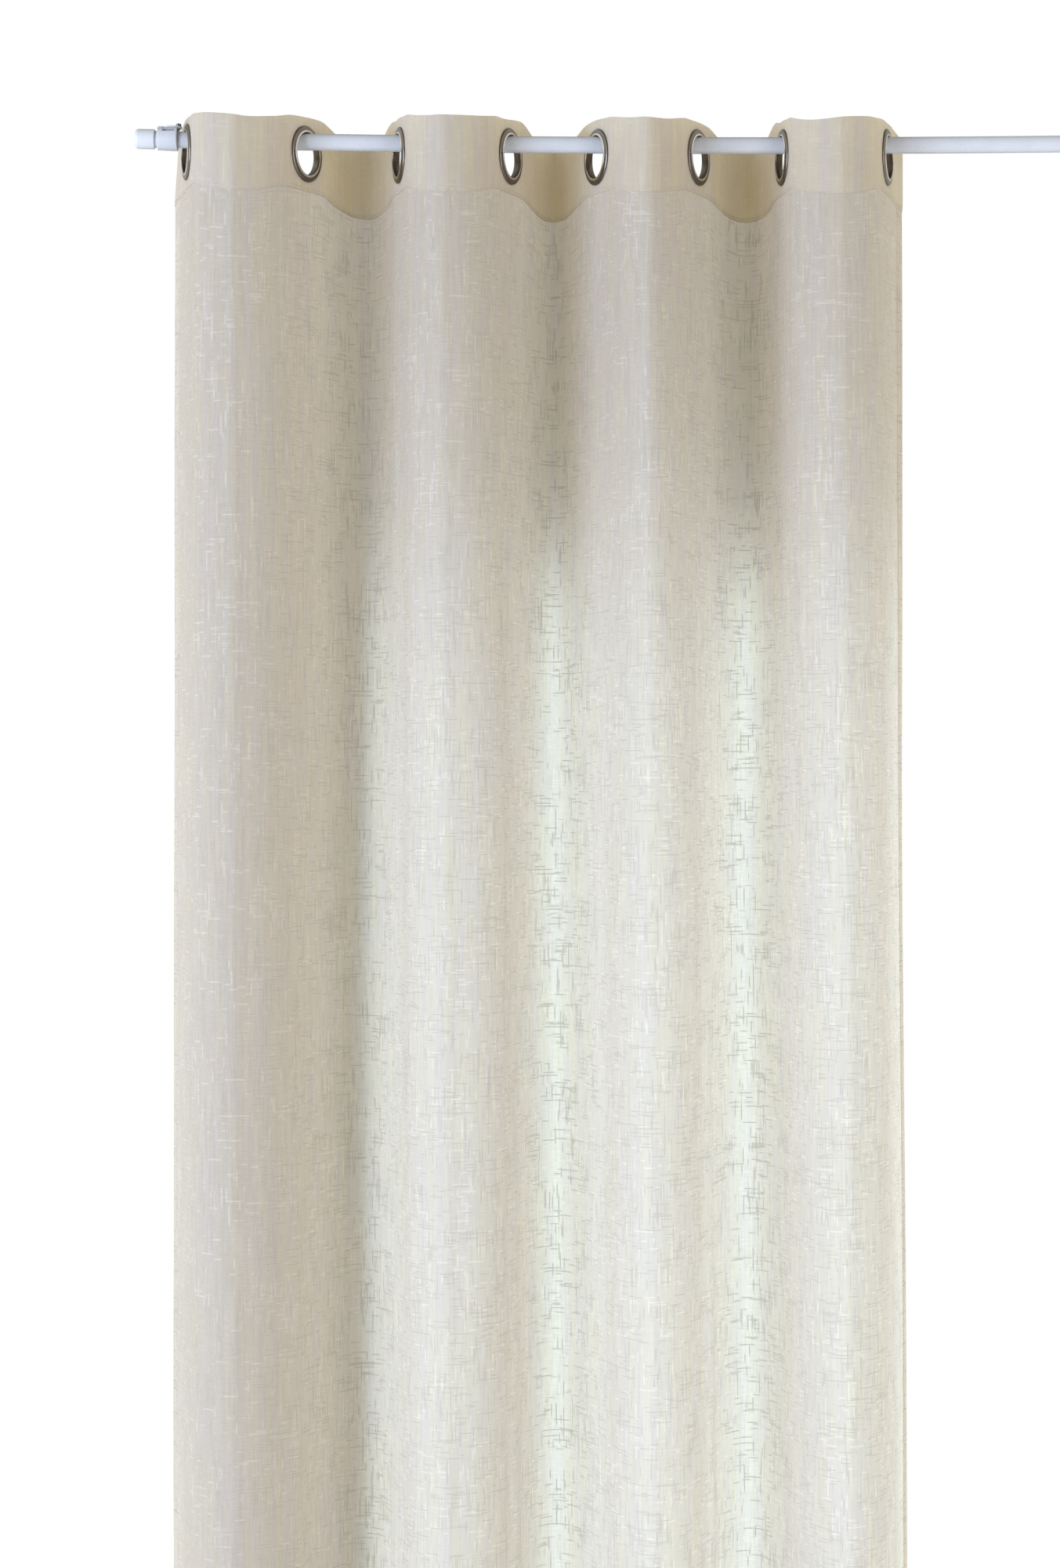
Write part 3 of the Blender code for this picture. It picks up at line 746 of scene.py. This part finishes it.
def makeNickel(finishGroup):
    look = nickelLook
    material, tree, shader = startMaterial("darkNickel")
    turned = addNode(tree, "UVMap", uv_map="turned").outputs[0]
    low, high = look["roughness"]
    worn = placeGroup(tree, finishGroup, At=turned, Grain=look["grain"], Low=low, High=high)
    place = addNode(tree, "TexCoord").outputs["Object"]
    out = vectorOf("LENGTH", vectorOf("MULTIPLY", place, (0, 1, 1))[0])["Value"]
    apart = mathOf("ABSOLUTE", mathOf("SUBTRACT", out, look["beadAt"]))
    # Painted highlight: a band at the bead's radius, coloured bright in the base colour
    beadHighlight = rampOf(apart, look["beadReach"] / 2, look["beadReach"], 1.0, 0.0)
    face = mixOf(worn["Tone"], look["dark"], look["face"])
    feed(shader.inputs, {
        "Base Color": mixOf(beadHighlight, face, look["beadHighlight"]),
        "Roughness": mathOf("MULTIPLY_ADD", beadHighlight, -look["smoother"], worn["Roughness"], clamp=True),
        "Metallic": 1,
        "Normal": bumpOf(worn["Height"], look["relief"], look["bump"]),
    })
    return material


threadLook = {
    "dark": (0.50, 0.46, 0.38, 1),
    "pale": (0.68, 0.64, 0.56, 1),
    "fibres": (2600, 2600, 2600),
    "roughness": 0.8,
    "relief": 0.05 * mm,
}


def makeThread():
    look = threadLook
    material, tree, shader = startMaterial("sewingThread")
    fibres = noiseOf(addNode(tree, "TexCoord").outputs["Object"], look["fibres"], 2.0)
    feed(shader.inputs, {
        "Base Color": mixOf(rampOf(fibres, 0.3, 0.7), look["dark"], look["pale"]),
        "Roughness": look["roughness"],
        "Normal": bumpOf(fibres, look["relief"], 1.0),
    })
    return material


slubGroup = makeSlubGroup()
finishGroup = makeFinishGroup()
netMaterial = makeCloth("netCloth", netLook, slubGroup)
headingMaterial = makeCloth("headingCloth", headingLook, slubGroup)
nickel = makeNickel(finishGroup)
thread = makeThread()
hard = {name: makeHard(name, look, finishGroup) for name, look in hardLooks.items()}
print("materials made:", len(bpy.data.materials))


# The net panel: one sheet from inside the heading to the bottom, its side and bottom hems turned
# back behind it
panel = {
    "tuck": 0.8 * mm,  # its top edge goes up into the heading
    "rowStep": 14 * mm,
    "hemHeight": 60 * mm,
    "hemRows": 5,
    "sideHem": 17.5 * mm,
    "layer": 0.7 * mm,  # between two layers of a hem
    "levels": 28,
    "levelBelow": 120 * mm,  # the weave follows the dips of the top edge above this
}


def layerDepth(turnedIn, turnedUp):
    order = {(False, False): 0, (True, False): 1, (True, True): 2, (False, True): 3}
    return order[(turnedIn, turnedUp)] * panel["layer"]


# Each point of the sheet by its row and column: its place seen from above, its face and height
def panelGrid(tops, belows):
    lines = [planLine(panelHeight * level / panel["levels"]) for level in range(panel["levels"] + 1)]
    grid = {}
    for number, below in enumerate(belows):
        place = min(max(below / panelHeight, 0), 0.9999) * panel["levels"]
        upper = int(place)
        line = [a.lerp(b, place - upper) for a, b in zip(lines[upper], lines[upper + 1])]
        for index, (point, face) in enumerate(zip(line, faceWays(line))):
            point = point + face * unevenness(index * cloth["step"], max(below, 0))
            grid[number, index] = (point, face, tops[index] - cloth["headingHeight"] - below)
    return grid


def makePanel(tops):
    plain = panelHeight - panel["hemHeight"]
    plainRows = round(plain / panel["rowStep"])
    hemRows = panel["hemRows"]
    belows = [-panel["tuck"]] + [plain * row / plainRows for row in range(plainRows + 1)]
    belows += [plain + panel["hemHeight"] * row / hemRows for row in range(1, hemRows + 1)]
    last = len(tops) - 1
    turnedColumns = stepsIn(panel["sideHem"]) + 1
    columns = [(index, True) for index in reversed(range(turnedColumns))]
    columns += [(index, False) for index in range(last + 1)]
    columns += [(last - index, True) for index in range(turnedColumns)]
    rows = [(number, False) for number in range(len(belows))]
    rows += [(len(belows) - 1 - number, True) for number in range(hemRows + 1)]
    grid = panelGrid(tops, belows)
    bm = bmesh.new()
    flat = bm.loops.layers.uv.new("flatCloth")
    doubled = bm.loops.layers.uv.new("doubledCloth")
    made = []
    for number, turnedUp in rows:
        loop = []
        for index, turnedIn in columns:
            point, face, z = grid[number, index]
            loop.append(bm.verts.new((*(point - face * layerDepth(turnedIn, turnedUp)), z)))
        made.append(loop)
    for r, rowPair in enumerate(zip(rows, rows[1:])):
        downs = [belows[number] * (-1 if turnedUp else 1) for number, turnedUp in rowPair]
        hemRow = sum(belows[number] for number, turnedUp in rowPair) / 2 > plain
        for c, columnPair in enumerate(zip(columns, columns[1:])):
            sides = [index * cloth["step"] * (-1 if turnedIn else 1) for index, turnedIn in columnPair]
            middle = sum(index for index, turnedIn in columnPair) / 2
            sideHem = min(middle, last - middle) * cloth["step"] < panel["sideHem"]
            face = bm.faces.new((made[r][c], made[r + 1][c], made[r + 1][c + 1], made[r][c + 1]))
            for loop, (right, down) in zip(face.loops, ((0, 0), (0, 1), (1, 1), (1, 0))):
                dip = tops[columnPair[right][0]] - tops[0]
                dip *= eased(abs(downs[down]) / panel["levelBelow"]) * math.copysign(1, downs[down])
                loop[flat].uv = (sides[right], dip - downs[down])
                loop[doubled].uv = (1 if hemRow or sideHem else 0, 0)
    mesh = finishMesh("netPanel", bm, cloth["sharpAngle"])
    return addPiece("netPanel", mesh, netMaterial, "net_cloth", "curtain_panel")


# The heading: two layers of the cloth with a stiffener between them, with a hole for each ring
heading = {
    "thick": 1.8 * mm,
    "slimmer": 0.45,  # its thickness at its upper and lower edge, as a share
    "rows": 12,
    "holeRadius": 21.7 * mm,
    "holeDepth": 3 * mm,
    "holeSides": 96,
    "lean": 5 * mm,  # how far its free left corner leans in
    "leanReach": 60 * mm,
}

# Its top edge rises and falls a little: middle and reach along the cloth, and rise, in mm
topWaves = table(
    "at reach rise",
    (20, 34, 4.5),
    (90, 36, -2.6),
    (142, 34, 2.2),
    (200, 30, -1.6),
    (268, 60, 3.0),
    (378, 34, 8.0),
    (418, 40, 3.4),
    (522, 50, 3.7),
    (640, 56, 5.0),
    (783, 44, 2.8),
    (872, 40, 1.3),
    (935, 34, -0.8),
    (985, 34, 1.0),
    (1112, 34, 8.0),
    (1146, 34, 2.6),
    (1206, 34, -1.9),
    (1258, 40, 3.4),
    (1303, 26, -1.8),
    (1360, 30, 1.2),
)


def topWave(across):
    return sum(
        wave["rise"] * mm * (1 - eased(abs(across - wave["at"] * mm) / (wave["reach"] * mm)))
        for wave in topWaves
    )


def ringMatrix(index):
    row = ringRows[index]
    way = ringWay(index, row["turn"])
    return movedTo(*ringPlace(row)) @ turnedBy(math.atan2(way.x, -way.y), "Z")


def makeHeading(tops):
    line = planLine(0)
    faces = faceWays(line)
    rows = heading["rows"]
    rowHeight = cloth["headingHeight"] / rows
    bm = bmesh.new()
    flat = bm.loops.layers.uv.new("flatCloth")
    points = {}
    for side in (1, -1):
        for row in range(rows + 1):
            down = row / rows
            reach = side * heading["thick"] / 2 * (heading["slimmer"] if row in (0, rows) else 1)
            for index, (point, face) in enumerate(zip(line, faces)):
                across = index * cloth["step"]
                lean = heading["lean"] * (1 - down) * (1 - eased(across / heading["leanReach"]))
                z = tops[index] - cloth["headingHeight"] * down + topWave(across) * (1 - down) ** 2
                place = point + face * reach
                points[side, index, row] = bm.verts.new((place.x + lean, place.y, z))

    def patch(*spots):
        face = bm.faces.new([points[spot] for spot in spots])
        for loop, (side, index, row) in zip(face.loops, spots):
            loop[flat].uv = (index * cloth["step"], -row * rowHeight)

    last = len(line) - 1
    for side in (1, -1):
        for row in range(rows):
            for n in range(last):
                spots = ((side, n, row), (side, n, row + 1), (side, n + 1, row + 1), (side, n + 1, row))
                patch(*spots[::side])
    for row in (0, rows):
        for n in range(last):
            patch((1, n, row), (1, n + 1, row), (-1, n + 1, row), (-1, n, row))
    for n in (0, last):
        for row in range(rows):
            patch((1, n, row), (1, n, row + 1), (-1, n, row + 1), (-1, n, row))
    bmesh.ops.recalc_face_normals(bm, faces=bm.faces)
    mesh = finishMesh("headingBand", bm)
    piece = addPiece("headingBand", mesh, headingMaterial, "heading_cloth", "heading_band")
    holes = bmesh.new()
    for index in range(len(ringRows)):
        bmesh.ops.create_cone(
            holes, cap_ends=True, segments=heading["holeSides"], radius1=heading["holeRadius"],
            radius2=heading["holeRadius"], depth=2 * heading["holeDepth"],
            matrix=ringMatrix(index) @ turnedBy(math.pi / 2, "Y"),
        )
    cutWith(piece, "DIFFERENCE", finishMesh("eyeletHoles", holes))
    smooth(piece.data, cloth["sharpAngle"])
    return piece


# Eyelet rings: the same section on both faces of the cloth, a bead round the bore that carries a
# painted highlight in the nickel, and a rolled outer flange. Each point of the section is (from the
# cloth's middle, radius), in mm.
eyelet = {
    "section": (
        (0.0, 20.0), (2.3, 20.0), (3.2, 20.2), (3.7, 20.7), (3.9, 21.4), (3.8, 22.1), (3.4, 22.6),
        (3.1, 23.1), (3.1, 23.8), (3.2, 24.5), (3.1, 25.3), (2.8, 26.0), (2.3, 26.6), (1.7, 26.95),
        (1.1, 27.0), (0.95, 26.8), (0.95, 21.5),
    ),
    "segments": 128,
    "sharpAngle": 50,
}


def makeRings():
    half = [(across * mm, radius * mm) for across, radius in eyelet["section"]]
    section = half + [(-across, radius) for across, radius in reversed(half[1:])]
    mesh = turnedMesh("eyeletRing", section, eyelet["segments"], True, eyelet["sharpAngle"])
    rings = []
    for index in range(len(ringRows)):
        piece = addPiece(f"eyeletRing{index + 1}", mesh, nickel, "dark_nickel", f"ring_{index + 1}")
        piece.matrix_world = ringMatrix(index)
        rings.append(piece)
    return rings


# Machine stitches along a seam, proud of the cloth
stitch = {
    "length": 3.1 * mm,
    "every": 4.0 * mm,
    "radius": 0.26 * mm,
    "lift": 0.12 * mm,
    "shoulder": 0.18,  # where it comes up from the cloth, as a share of its length
    "sides": 5,
}
seams = {
    "headingUp": 3.0 * mm,  # above the heading's lower edge
    "hemDown": 2.5 * mm,  # below the bottom hem's upper edge
    "sideIn": 14 * mm,
    "sideLevels": 84,
}


def addStitch(bm, start, end, outward):
    along = (end - start).normalized()
    across = along.cross(outward).normalized()
    lift = outward * stitch["lift"]
    sides = stitch["sides"]
    loops = [[bm.verts.new(start - lift)] * sides]
    for share in (stitch["shoulder"], 1 - stitch["shoulder"]):
        loop = []
        for side in range(sides):
            angle = 2 * math.pi * side / sides
            spoke = across * math.cos(angle) + outward * math.sin(angle)
            loop.append(bm.verts.new(start.lerp(end, share) + lift + spoke * stitch["radius"]))
        loops.append(loop)
    loops.append([bm.verts.new(end - lift)] * sides)
    for first, second in zip(loops, loops[1:]):
        bridge(bm, first, second)


def stitchAlong(bm, path, outward):
    travelled = 0
    due = stitch["every"] / 2
    for number, (first, second) in enumerate(zip(path, path[1:])):
        piece = (second - first).length
        while travelled + piece >= due:
            start = first.lerp(second, (due - travelled) / piece)
            way = (second - first).normalized()
            addStitch(bm, start, start + way * stitch["length"], outward[number])
            due += stitch["every"]
        travelled += piece


# A level seam at a height over the plan line, sewn through to both faces
def levelSeam(bm, line, heights, reach):
    faces = faceWays(line)
    for side, depth in ((1, reach[0]), (-1, reach[1])):
        path = [Vector((*(p + face * side * depth), z)) for p, face, z in zip(line, faces, heights)]
        stitchAlong(bm, path, [Vector((*(face * side), 0)) for face in faces])


def makeHeadingSeam(tops):
    bm = bmesh.new()
    heights = [top - cloth["headingHeight"] + seams["headingUp"] for top in tops]
    reach = heading["thick"] / 2
    levelSeam(bm, planLine(0), heights, (reach, reach))
    return addPiece("headingSeam", finishMesh("headingSeam", bm), thread, "heading_cloth")


def makeHemSeams(tops):
    bm = bmesh.new()
    below = panelHeight - panel["hemHeight"] + seams["hemDown"]
    line = planLine(below)
    bent = [
        point + face * unevenness(index * cloth["step"], below)
        for index, (point, face) in enumerate(zip(line, faceWays(line)))
    ]
    heights = [top - cloth["headingHeight"] - below for top in tops]
    levelSeam(bm, bent, heights, (0, 3 * panel["layer"]))
    downs = [below * level / seams["sideLevels"] for level in range(seams["sideLevels"])]
    lines = [planLine(down) for down in downs]
    column = stepsIn(seams["sideIn"])
    for index in (column, len(tops) - 1 - column):
        for side, depth in ((1, 0), (-1, panel["layer"])):
            path = []
            outward = []
            for down, line in zip(downs, lines):
                face = faceWays(line)[index]
                place = line[index] + face * (unevenness(index * cloth["step"], down) + side * depth)
                path.append(Vector((*place, tops[index] - cloth["headingHeight"] - down)))
                outward.append(Vector((*(face * side), 0)))
            stitchAlong(bm, path, outward)
    return addPiece("hemSeams", finishMesh("hemSeams", bm), thread, "net_cloth")


tops = topEdge()
headingBand = makeHeading(tops)
print("heading made")
netPanel = makePanel(tops)
print("panel made")
rings = makeRings()
headingSeam = makeHeadingSeam(tops)
hemSeams = makeHemSeams(tops)
print("rings and seams made")


# The rod
rodLook = {"points": 41, "roundness": 22, "endWall": 2.8 * mm}


def makeRod():
    curve = bpy.data.curves.new("curtainRod", "CURVE")
    curve.dimensions = "3D"
    curve.bevel_depth = rodLine["radius"]
    curve.bevel_resolution = rodLook["roundness"]
    curve.use_fill_caps = True
    spline = curve.splines.new("POLY")
    spline.points.add(rodLook["points"] - 1)
    length = rodLine["length"] - 2 * rodLook["endWall"]
    for step, point in enumerate(spline.points):
        x = rodLeft + rodLook["endWall"] + length * step / (rodLook["points"] - 1)
        point.co = (x, rodY, rodHeight(x), 1)
    return addPiece("curtainRod", curve, hard["whiteLacquer"], "white_lacquer", "rod")


# End caps: a moulded cup with a rounded end and a fine rim
cap = {
    "radius": 9.5 * mm,
    "length": 19.5 * mm,
    "bore": 8.2 * mm,
    "wall": 2.5 * mm,
    "rounding": 4 * mm,
    "roundSteps": 10,
    "rim": 0.5 * mm,
    "segments": 96,
}


def makeCap(name, endX, inward, node):
    profile = [(0, 0)]
    for step in range(cap["roundSteps"] + 1):
        angle = math.pi / 2 * step / cap["roundSteps"]
        along = cap["rounding"] * (1 - math.cos(angle))
        profile.append((along, cap["radius"] - cap["rounding"] * (1 - math.sin(angle))))
    profile += [
        (cap["length"] - cap["rim"], cap["radius"]),
        (cap["length"], cap["radius"] - cap["rim"]),
        (cap["length"], cap["bore"]),
        (cap["wall"], cap["bore"]),
        (cap["wall"], 0),
    ]
    mesh = turnedMesh(name, profile, cap["segments"])
    piece = addPiece(name, mesh, hard["whitePlastic"], "white_plastic", node)
    facing = Matrix.Identity(4) if inward > 0 else turnedBy(math.pi, "Z")
    tilt = turnedBy(-rodSlope(endX), "Y")
    piece.matrix_world = movedTo(endX, rodY, rodHeight(endX)) @ tilt @ facing
    return piece


# Screws: a domed head with a cross recess, over a plain shank
clampScrew = {
    "foot": 12.7 * mm,
    "shankFoot": 8.6 * mm,
    "shankRadius": 1.5 * mm,
    "headRadius": 2.7 * mm,
    "headHeight": 2.6 * mm,
    "straight": 0.55,
    "recess": 1.2 * mm,
}
wallScrew = {
    "foot": 3.3 * mm,
    "shankFoot": 0,
    "shankRadius": 1.45 * mm,
    "headRadius": 2.8 * mm,
    "headHeight": 1.6 * mm,
    "straight": 0.35,
    "recess": 0.8 * mm,
}
screwShape = {
    "edge": 0.15 * mm,
    "domeSteps": 6,
    "domeTop": 0.25,  # the dome's flat middle, as a share of the head's radius
    "slotLength": 1.15,  # of the head's radius
    "slotWidth": 0.75 * mm,
    "segments": 48,
    "sharpAngle": 35,
}


def makeScrew(name, sizes, place, node):
    shape = screwShape
    foot, radius = sizes["foot"], sizes["headRadius"]
    top = foot + sizes["headHeight"]
    straight = foot + sizes["headHeight"] * sizes["straight"]
    profile = [
        (sizes["shankFoot"], 0),
        (sizes["shankFoot"], sizes["shankRadius"]),
        (foot, sizes["shankRadius"]),
        (foot, radius - shape["edge"]),
        (foot + shape["edge"], radius),
        (straight, radius),
    ]
    for step in range(1, shape["domeSteps"]):
        angle = math.pi / 2 * step / shape["domeSteps"]
        out = shape["domeTop"] + (1 - shape["domeTop"]) * math.cos(angle)
        profile.append((straight + (top - straight) * math.sin(angle), radius * out))
    profile.append((top, 0))
    mesh = turnedMesh(name, profile, shape["segments"])
    piece = addPiece(name, mesh, hard["screwSteel"], "screw_steel", node)
    piece.matrix_world = place
    for turn in (0, math.pi / 2):
        size = (2 * sizes["recess"], radius * shape["slotLength"], shape["slotWidth"])
        at = place @ movedTo(top, 0, 0) @ turnedBy(turn, "X")
        cutWith(piece, "DIFFERENCE", boxMesh("recessTool", size), at)
    smooth(piece.data, shape["sharpAngle"])
    return piece


# Brackets: a collar with a slot, a flat arm over it, a foot that turns up the wall and a boss for
# the clamp screw. Heights are above the rod's axis.
bracket = {
    "collarLength": 19.6 * mm,
    "collarInner": 9 * mm,
    "collarOuter": 11.7 * mm,
    "collarFar": 10.8 * mm,  # its radius at the rod's end
    "collarChamfer": 0.7 * mm,
    "collarOffset": 6.8 * mm,
    "collarRise": 0.5 * mm,
    "slotSize": (12 * mm, 8 * mm, 4 * mm),
    "slotInset": 2.3 * mm,
    "slotElevation": 44,
    "armWidth": 7 * mm,
    "armThick": 3.4 * mm,
    "armBottom": 9.9 * mm,
    "armShort": 2 * mm,
    "footSize": (16 * mm, 3 * mm, 22 * mm),
    "footCorner": 5 * mm,
    "edge": 0.6 * mm,  # rounding of the arm's and the foot's edges
    "bossRadius": 3.2 * mm,
    "bossTop": 12.4 * mm,
    "bossFoot": 9.9 * mm,
    "bossEdge": 0.4 * mm,
    "bossOverhang": 0.7 * mm,
    "clampHole": 1.8 * mm,  # radius
    "clampHoleTop": 14 * mm,
    "wallHole": 1.75 * mm,  # radius
    "screwSpread": 5.2 * mm,
}
toRoom = turnedBy(-math.pi / 2, "Z")
toUp = turnedBy(-math.pi / 2, "Y")


# The foot: an upright plate with round corners and softened edges, its back on the wall
def footMesh(name):
    width, thick, height = bracket["footSize"]
    bm = bmesh.new()
    bmesh.ops.create_cube(bm, size=1, matrix=Matrix.Diagonal((width, thick, height, 1)))
    bmesh.ops.translate(bm, verts=bm.verts[:], vec=(0, -thick / 2, 0))
    across = [edge for edge in bm.edges if abs(edge.verts[0].co.y - edge.verts[1].co.y) > thick / 2]
    corner = bracket["footCorner"]
    bmesh.ops.bevel(bm, geom=across, offset=corner, segments=12, profile=0.5, affect="EDGES")
    front = [edge for edge in bm.edges if all(vert.co.y < -0.9 * thick for vert in edge.verts)]
    bmesh.ops.bevel(bm, geom=front, offset=bracket["edge"], segments=3, profile=0.5, affect="EDGES")
    return finishMesh(name, bm)


def collarMesh(name, inward):
    half = bracket["collarLength"] / 2
    inner, outer, far = (bracket[key] for key in ("collarInner", "collarOuter", "collarFar"))
    chamfer = bracket["collarChamfer"]
    section = [
        (-half, inner + chamfer / 2),
        (-half, far - chamfer),
        (-half + chamfer, far),
        (half - chamfer, outer),
        (half, outer - chamfer),
        (half, inner + chamfer / 2),
        (half - chamfer, inner),
        (-half + chamfer, inner),
    ]
    return turnedMesh(name, [(inward * along, radius) for along, radius in section], 96, True, 30)


def makeBracket(side, armX, inward):
    values = bracket
    name = "rodBracket" + side
    lower = side.lower()
    half = values["collarLength"] / 2
    collarX = armX + inward * values["collarOffset"]
    collarZ = values["collarRise"] - rodLine["below"]
    collar = collarMesh(name, inward)
    piece = addPiece(name, collar, hard["whiteLacquer"], "white_lacquer", "bracket_" + lower)
    piece.matrix_world = movedTo(collarX, rodY, collarZ)
    footThick = values["footSize"][1]
    armLength = rodLine["wallDistance"] - values["armShort"] - footThick / 2
    armMiddle = values["armBottom"] + values["armThick"] / 2 - rodLine["below"]
    arm = boxMesh("armTool", (values["armWidth"], armLength, values["armThick"]), values["edge"])
    atArm = movedTo(armX, -(footThick + armLength) / 2, armMiddle)
    cutWith(piece, "UNION", arm, atArm)
    cutWith(piece, "UNION", footMesh("footTool"), movedTo(armX, 0, 0))
    boss = [
        (values["bossFoot"], 0),
        (values["bossFoot"], values["bossRadius"]),
        (values["bossTop"] - values["bossEdge"], values["bossRadius"]),
        (values["bossTop"], values["bossRadius"] - values["bossEdge"]),
        (values["bossTop"], 0),
    ]
    bossX = collarX + inward * (half + values["bossOverhang"])
    atBoss = movedTo(bossX, rodY, -rodLine["below"]) @ toUp
    cutWith(piece, "UNION", turnedMesh("bossTool", boss, 48), atBoss)
    slotX = collarX + inward * (half - values["slotInset"] - values["slotSize"][0] / 2)
    atSlot = (
        movedTo(slotX, rodY, collarZ)
        @ turnedBy(math.radians(-values["slotElevation"]), "X")
        @ movedTo(0, -(values["collarInner"] + values["collarOuter"]) / 2, 0)
    )
    cutWith(piece, "DIFFERENCE", boxMesh("slotTool", values["slotSize"]), atSlot)
    hole = plainTurned(rodLine["radius"], values["clampHoleTop"], values["clampHole"])
    cutWith(piece, "DIFFERENCE", turnedMesh("clampHoleTool", hole, 32), atBoss)
    screws = [makeScrew("clampScrew" + side, clampScrew, atBoss, "clamp_screw_" + lower)]
    hole = plainTurned(-mm, footThick + mm, values["wallHole"])
    for level, up in (("Upper", 1), ("Lower", -1)):
        at = movedTo(armX, 0, up * values["screwSpread"]) @ toRoom
        cutWith(piece, "DIFFERENCE", turnedMesh("screwHoleTool", hole, 32), at)
        node = f"wall_screw_{lower}_{level.lower()}"
        screws.append(makeScrew("wallScrew" + side + level, wallScrew, at, node))
    smooth(piece.data, 30)
    return [piece] + screws


rod = makeRod()
fittings = [
    makeCap("endCapLeft", rodLeft, 1, "end_cap_left"),
    makeCap("endCapRight", rodLeft + rodLine["length"], -1, "end_cap_right"),
    *makeBracket("Left", 0, 1),
    *makeBracket("Right", armSpan, -1),
]
print("rod and fittings made:", 1 + len(fittings))

for piece in [headingBand, netPanel, headingSeam, hemSeams, rod, *rings, *fittings]:
    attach(piece, "root")


# Pale floor, fading out into the background
studio = {
    "floorBelow": 15 * mm,
    "floorMiddle": (0.36, -0.1),
    "floorRadius": 3.4,
    "floorSolid": 1.0,  # from here it fades out, nearly to its rim
    "floorRim": 3.298,
    "floorTone": (0.86, 0.86, 0.85, 1),
    "floorRoughness": 0.7,
    "background": (1.0, 1.0, 1.0, 1),
    "leftTone": (0.96, 1.0, 0.95, 1),
    "rightTone": (0.81, 0.80, 0.725, 1),
    "sideStrength": 1.55,  # of the surroundings at each side, falling to the next in front
    "leastStrength": 0.03,
}


def makeFloor():
    bm = bmesh.new()
    bmesh.ops.create_circle(bm, cap_ends=True, segments=96, radius=studio["floorRadius"])
    floor = addObject("floor", finishMesh("floor", bm))
    floor.location = (*studio["floorMiddle"], cadLow.z - studio["floorBelow"])
    material, tree, shader = startMaterial("paleFloor")
    out = vectorOf("LENGTH", addNode(tree, "TexCoord").outputs["Object"])["Value"]
    feed(shader.inputs, {
        "Base Color": studio["floorTone"],
        "Roughness": studio["floorRoughness"],
        "Alpha": rampOf(out, studio["floorSolid"], studio["floorRim"], 1.0, 0.0),
    })
    floor.data.materials.append(material)


def makeWorld():
    world = bpy.data.worlds.new("studio")
    scene.world = world
    world.use_nodes = True
    tree = world.node_tree
    tree.nodes.clear()
    parts = nodeOf("SeparateXYZ", addNode(tree, "TexCoord").outputs["Generated"]).outputs
    tone = mixOf(rampOf(parts["X"], -0.5, 0.5), studio["leftTone"], studio["rightTone"])
    sideways = mathOf("ABSOLUTE", parts["X"])
    strength = mathOf("MULTIPLY_ADD", sideways, studio["sideStrength"], studio["leastStrength"])
    around = nodeOf("Background", tone, strength).outputs[0]
    seen = addNode(tree, "Background", studio["background"]).outputs[0]
    isSeen = addNode(tree, "LightPath").outputs["Is Camera Ray"]
    nodeOf("OutputWorld", nodeOf("MixShader", isSeen, around, seen).outputs[0])


# Soft lamps: a key from the left, a weaker fill from the right, and one behind the lower cloth
lampRows = table(
    "name at to size power tone",
    ("keyLeft", (-2.594, -2.802, -0.9), (0.355, -0.1, -0.9), (2.1, 3.0), 194, (0.635, 0.755, 1.0)),
    ("fillRight", (2.412, -2.551, -0.9), (0.355, -0.1, -0.9), (1.05, 3.0), 46, (0.886, 0.926, 1.0)),
    ("behindLow", (0.53, 0.06, -1.42), (0.53, -0.1, -1.42), (0.59, 1.98), 8.8, (0.585, 0.79, 1.0)),
)


def makeLamps():
    for row in lampRows:
        data = bpy.data.lights.new(row["name"], "AREA")
        data.shape = "RECTANGLE"
        data.size, data.size_y = row["size"]
        data.energy = row["power"]
        data.color = row["tone"]
        lamp = addObject(row["name"], data)
        lamp.location = row["at"]
        way = Vector(row["to"]) - Vector(row["at"])
        lamp.rotation_mode = "QUATERNION"
        lamp.rotation_quaternion = way.to_track_quat("-Z", "Y")
        lamp.visible_camera = False


# The camera stands level, in front of the hung cloth's middle, as the picture is framed
view = {
    "at": (355.8 * mm, -3.3, -642.6 * mm),
    "focalPixels": 4240,
    "frameHeight": 2001,
    "sensor": 36,
}


def makeCamera():
    data = bpy.data.cameras.new("camera")
    data.sensor_width = view["sensor"]
    data.lens = view["focalPixels"] / view["frameHeight"] * view["sensor"]
    camera = addObject("camera", data)
    camera.location = view["at"]
    camera.rotation_euler = (math.pi / 2, 0, 0)
    scene.camera = camera


makeFloor()
makeWorld()
makeLamps()
makeCamera()
scene.view_settings.view_transform = "Standard"
scene.cycles.transparent_max_bounces = 16
print("studio made")
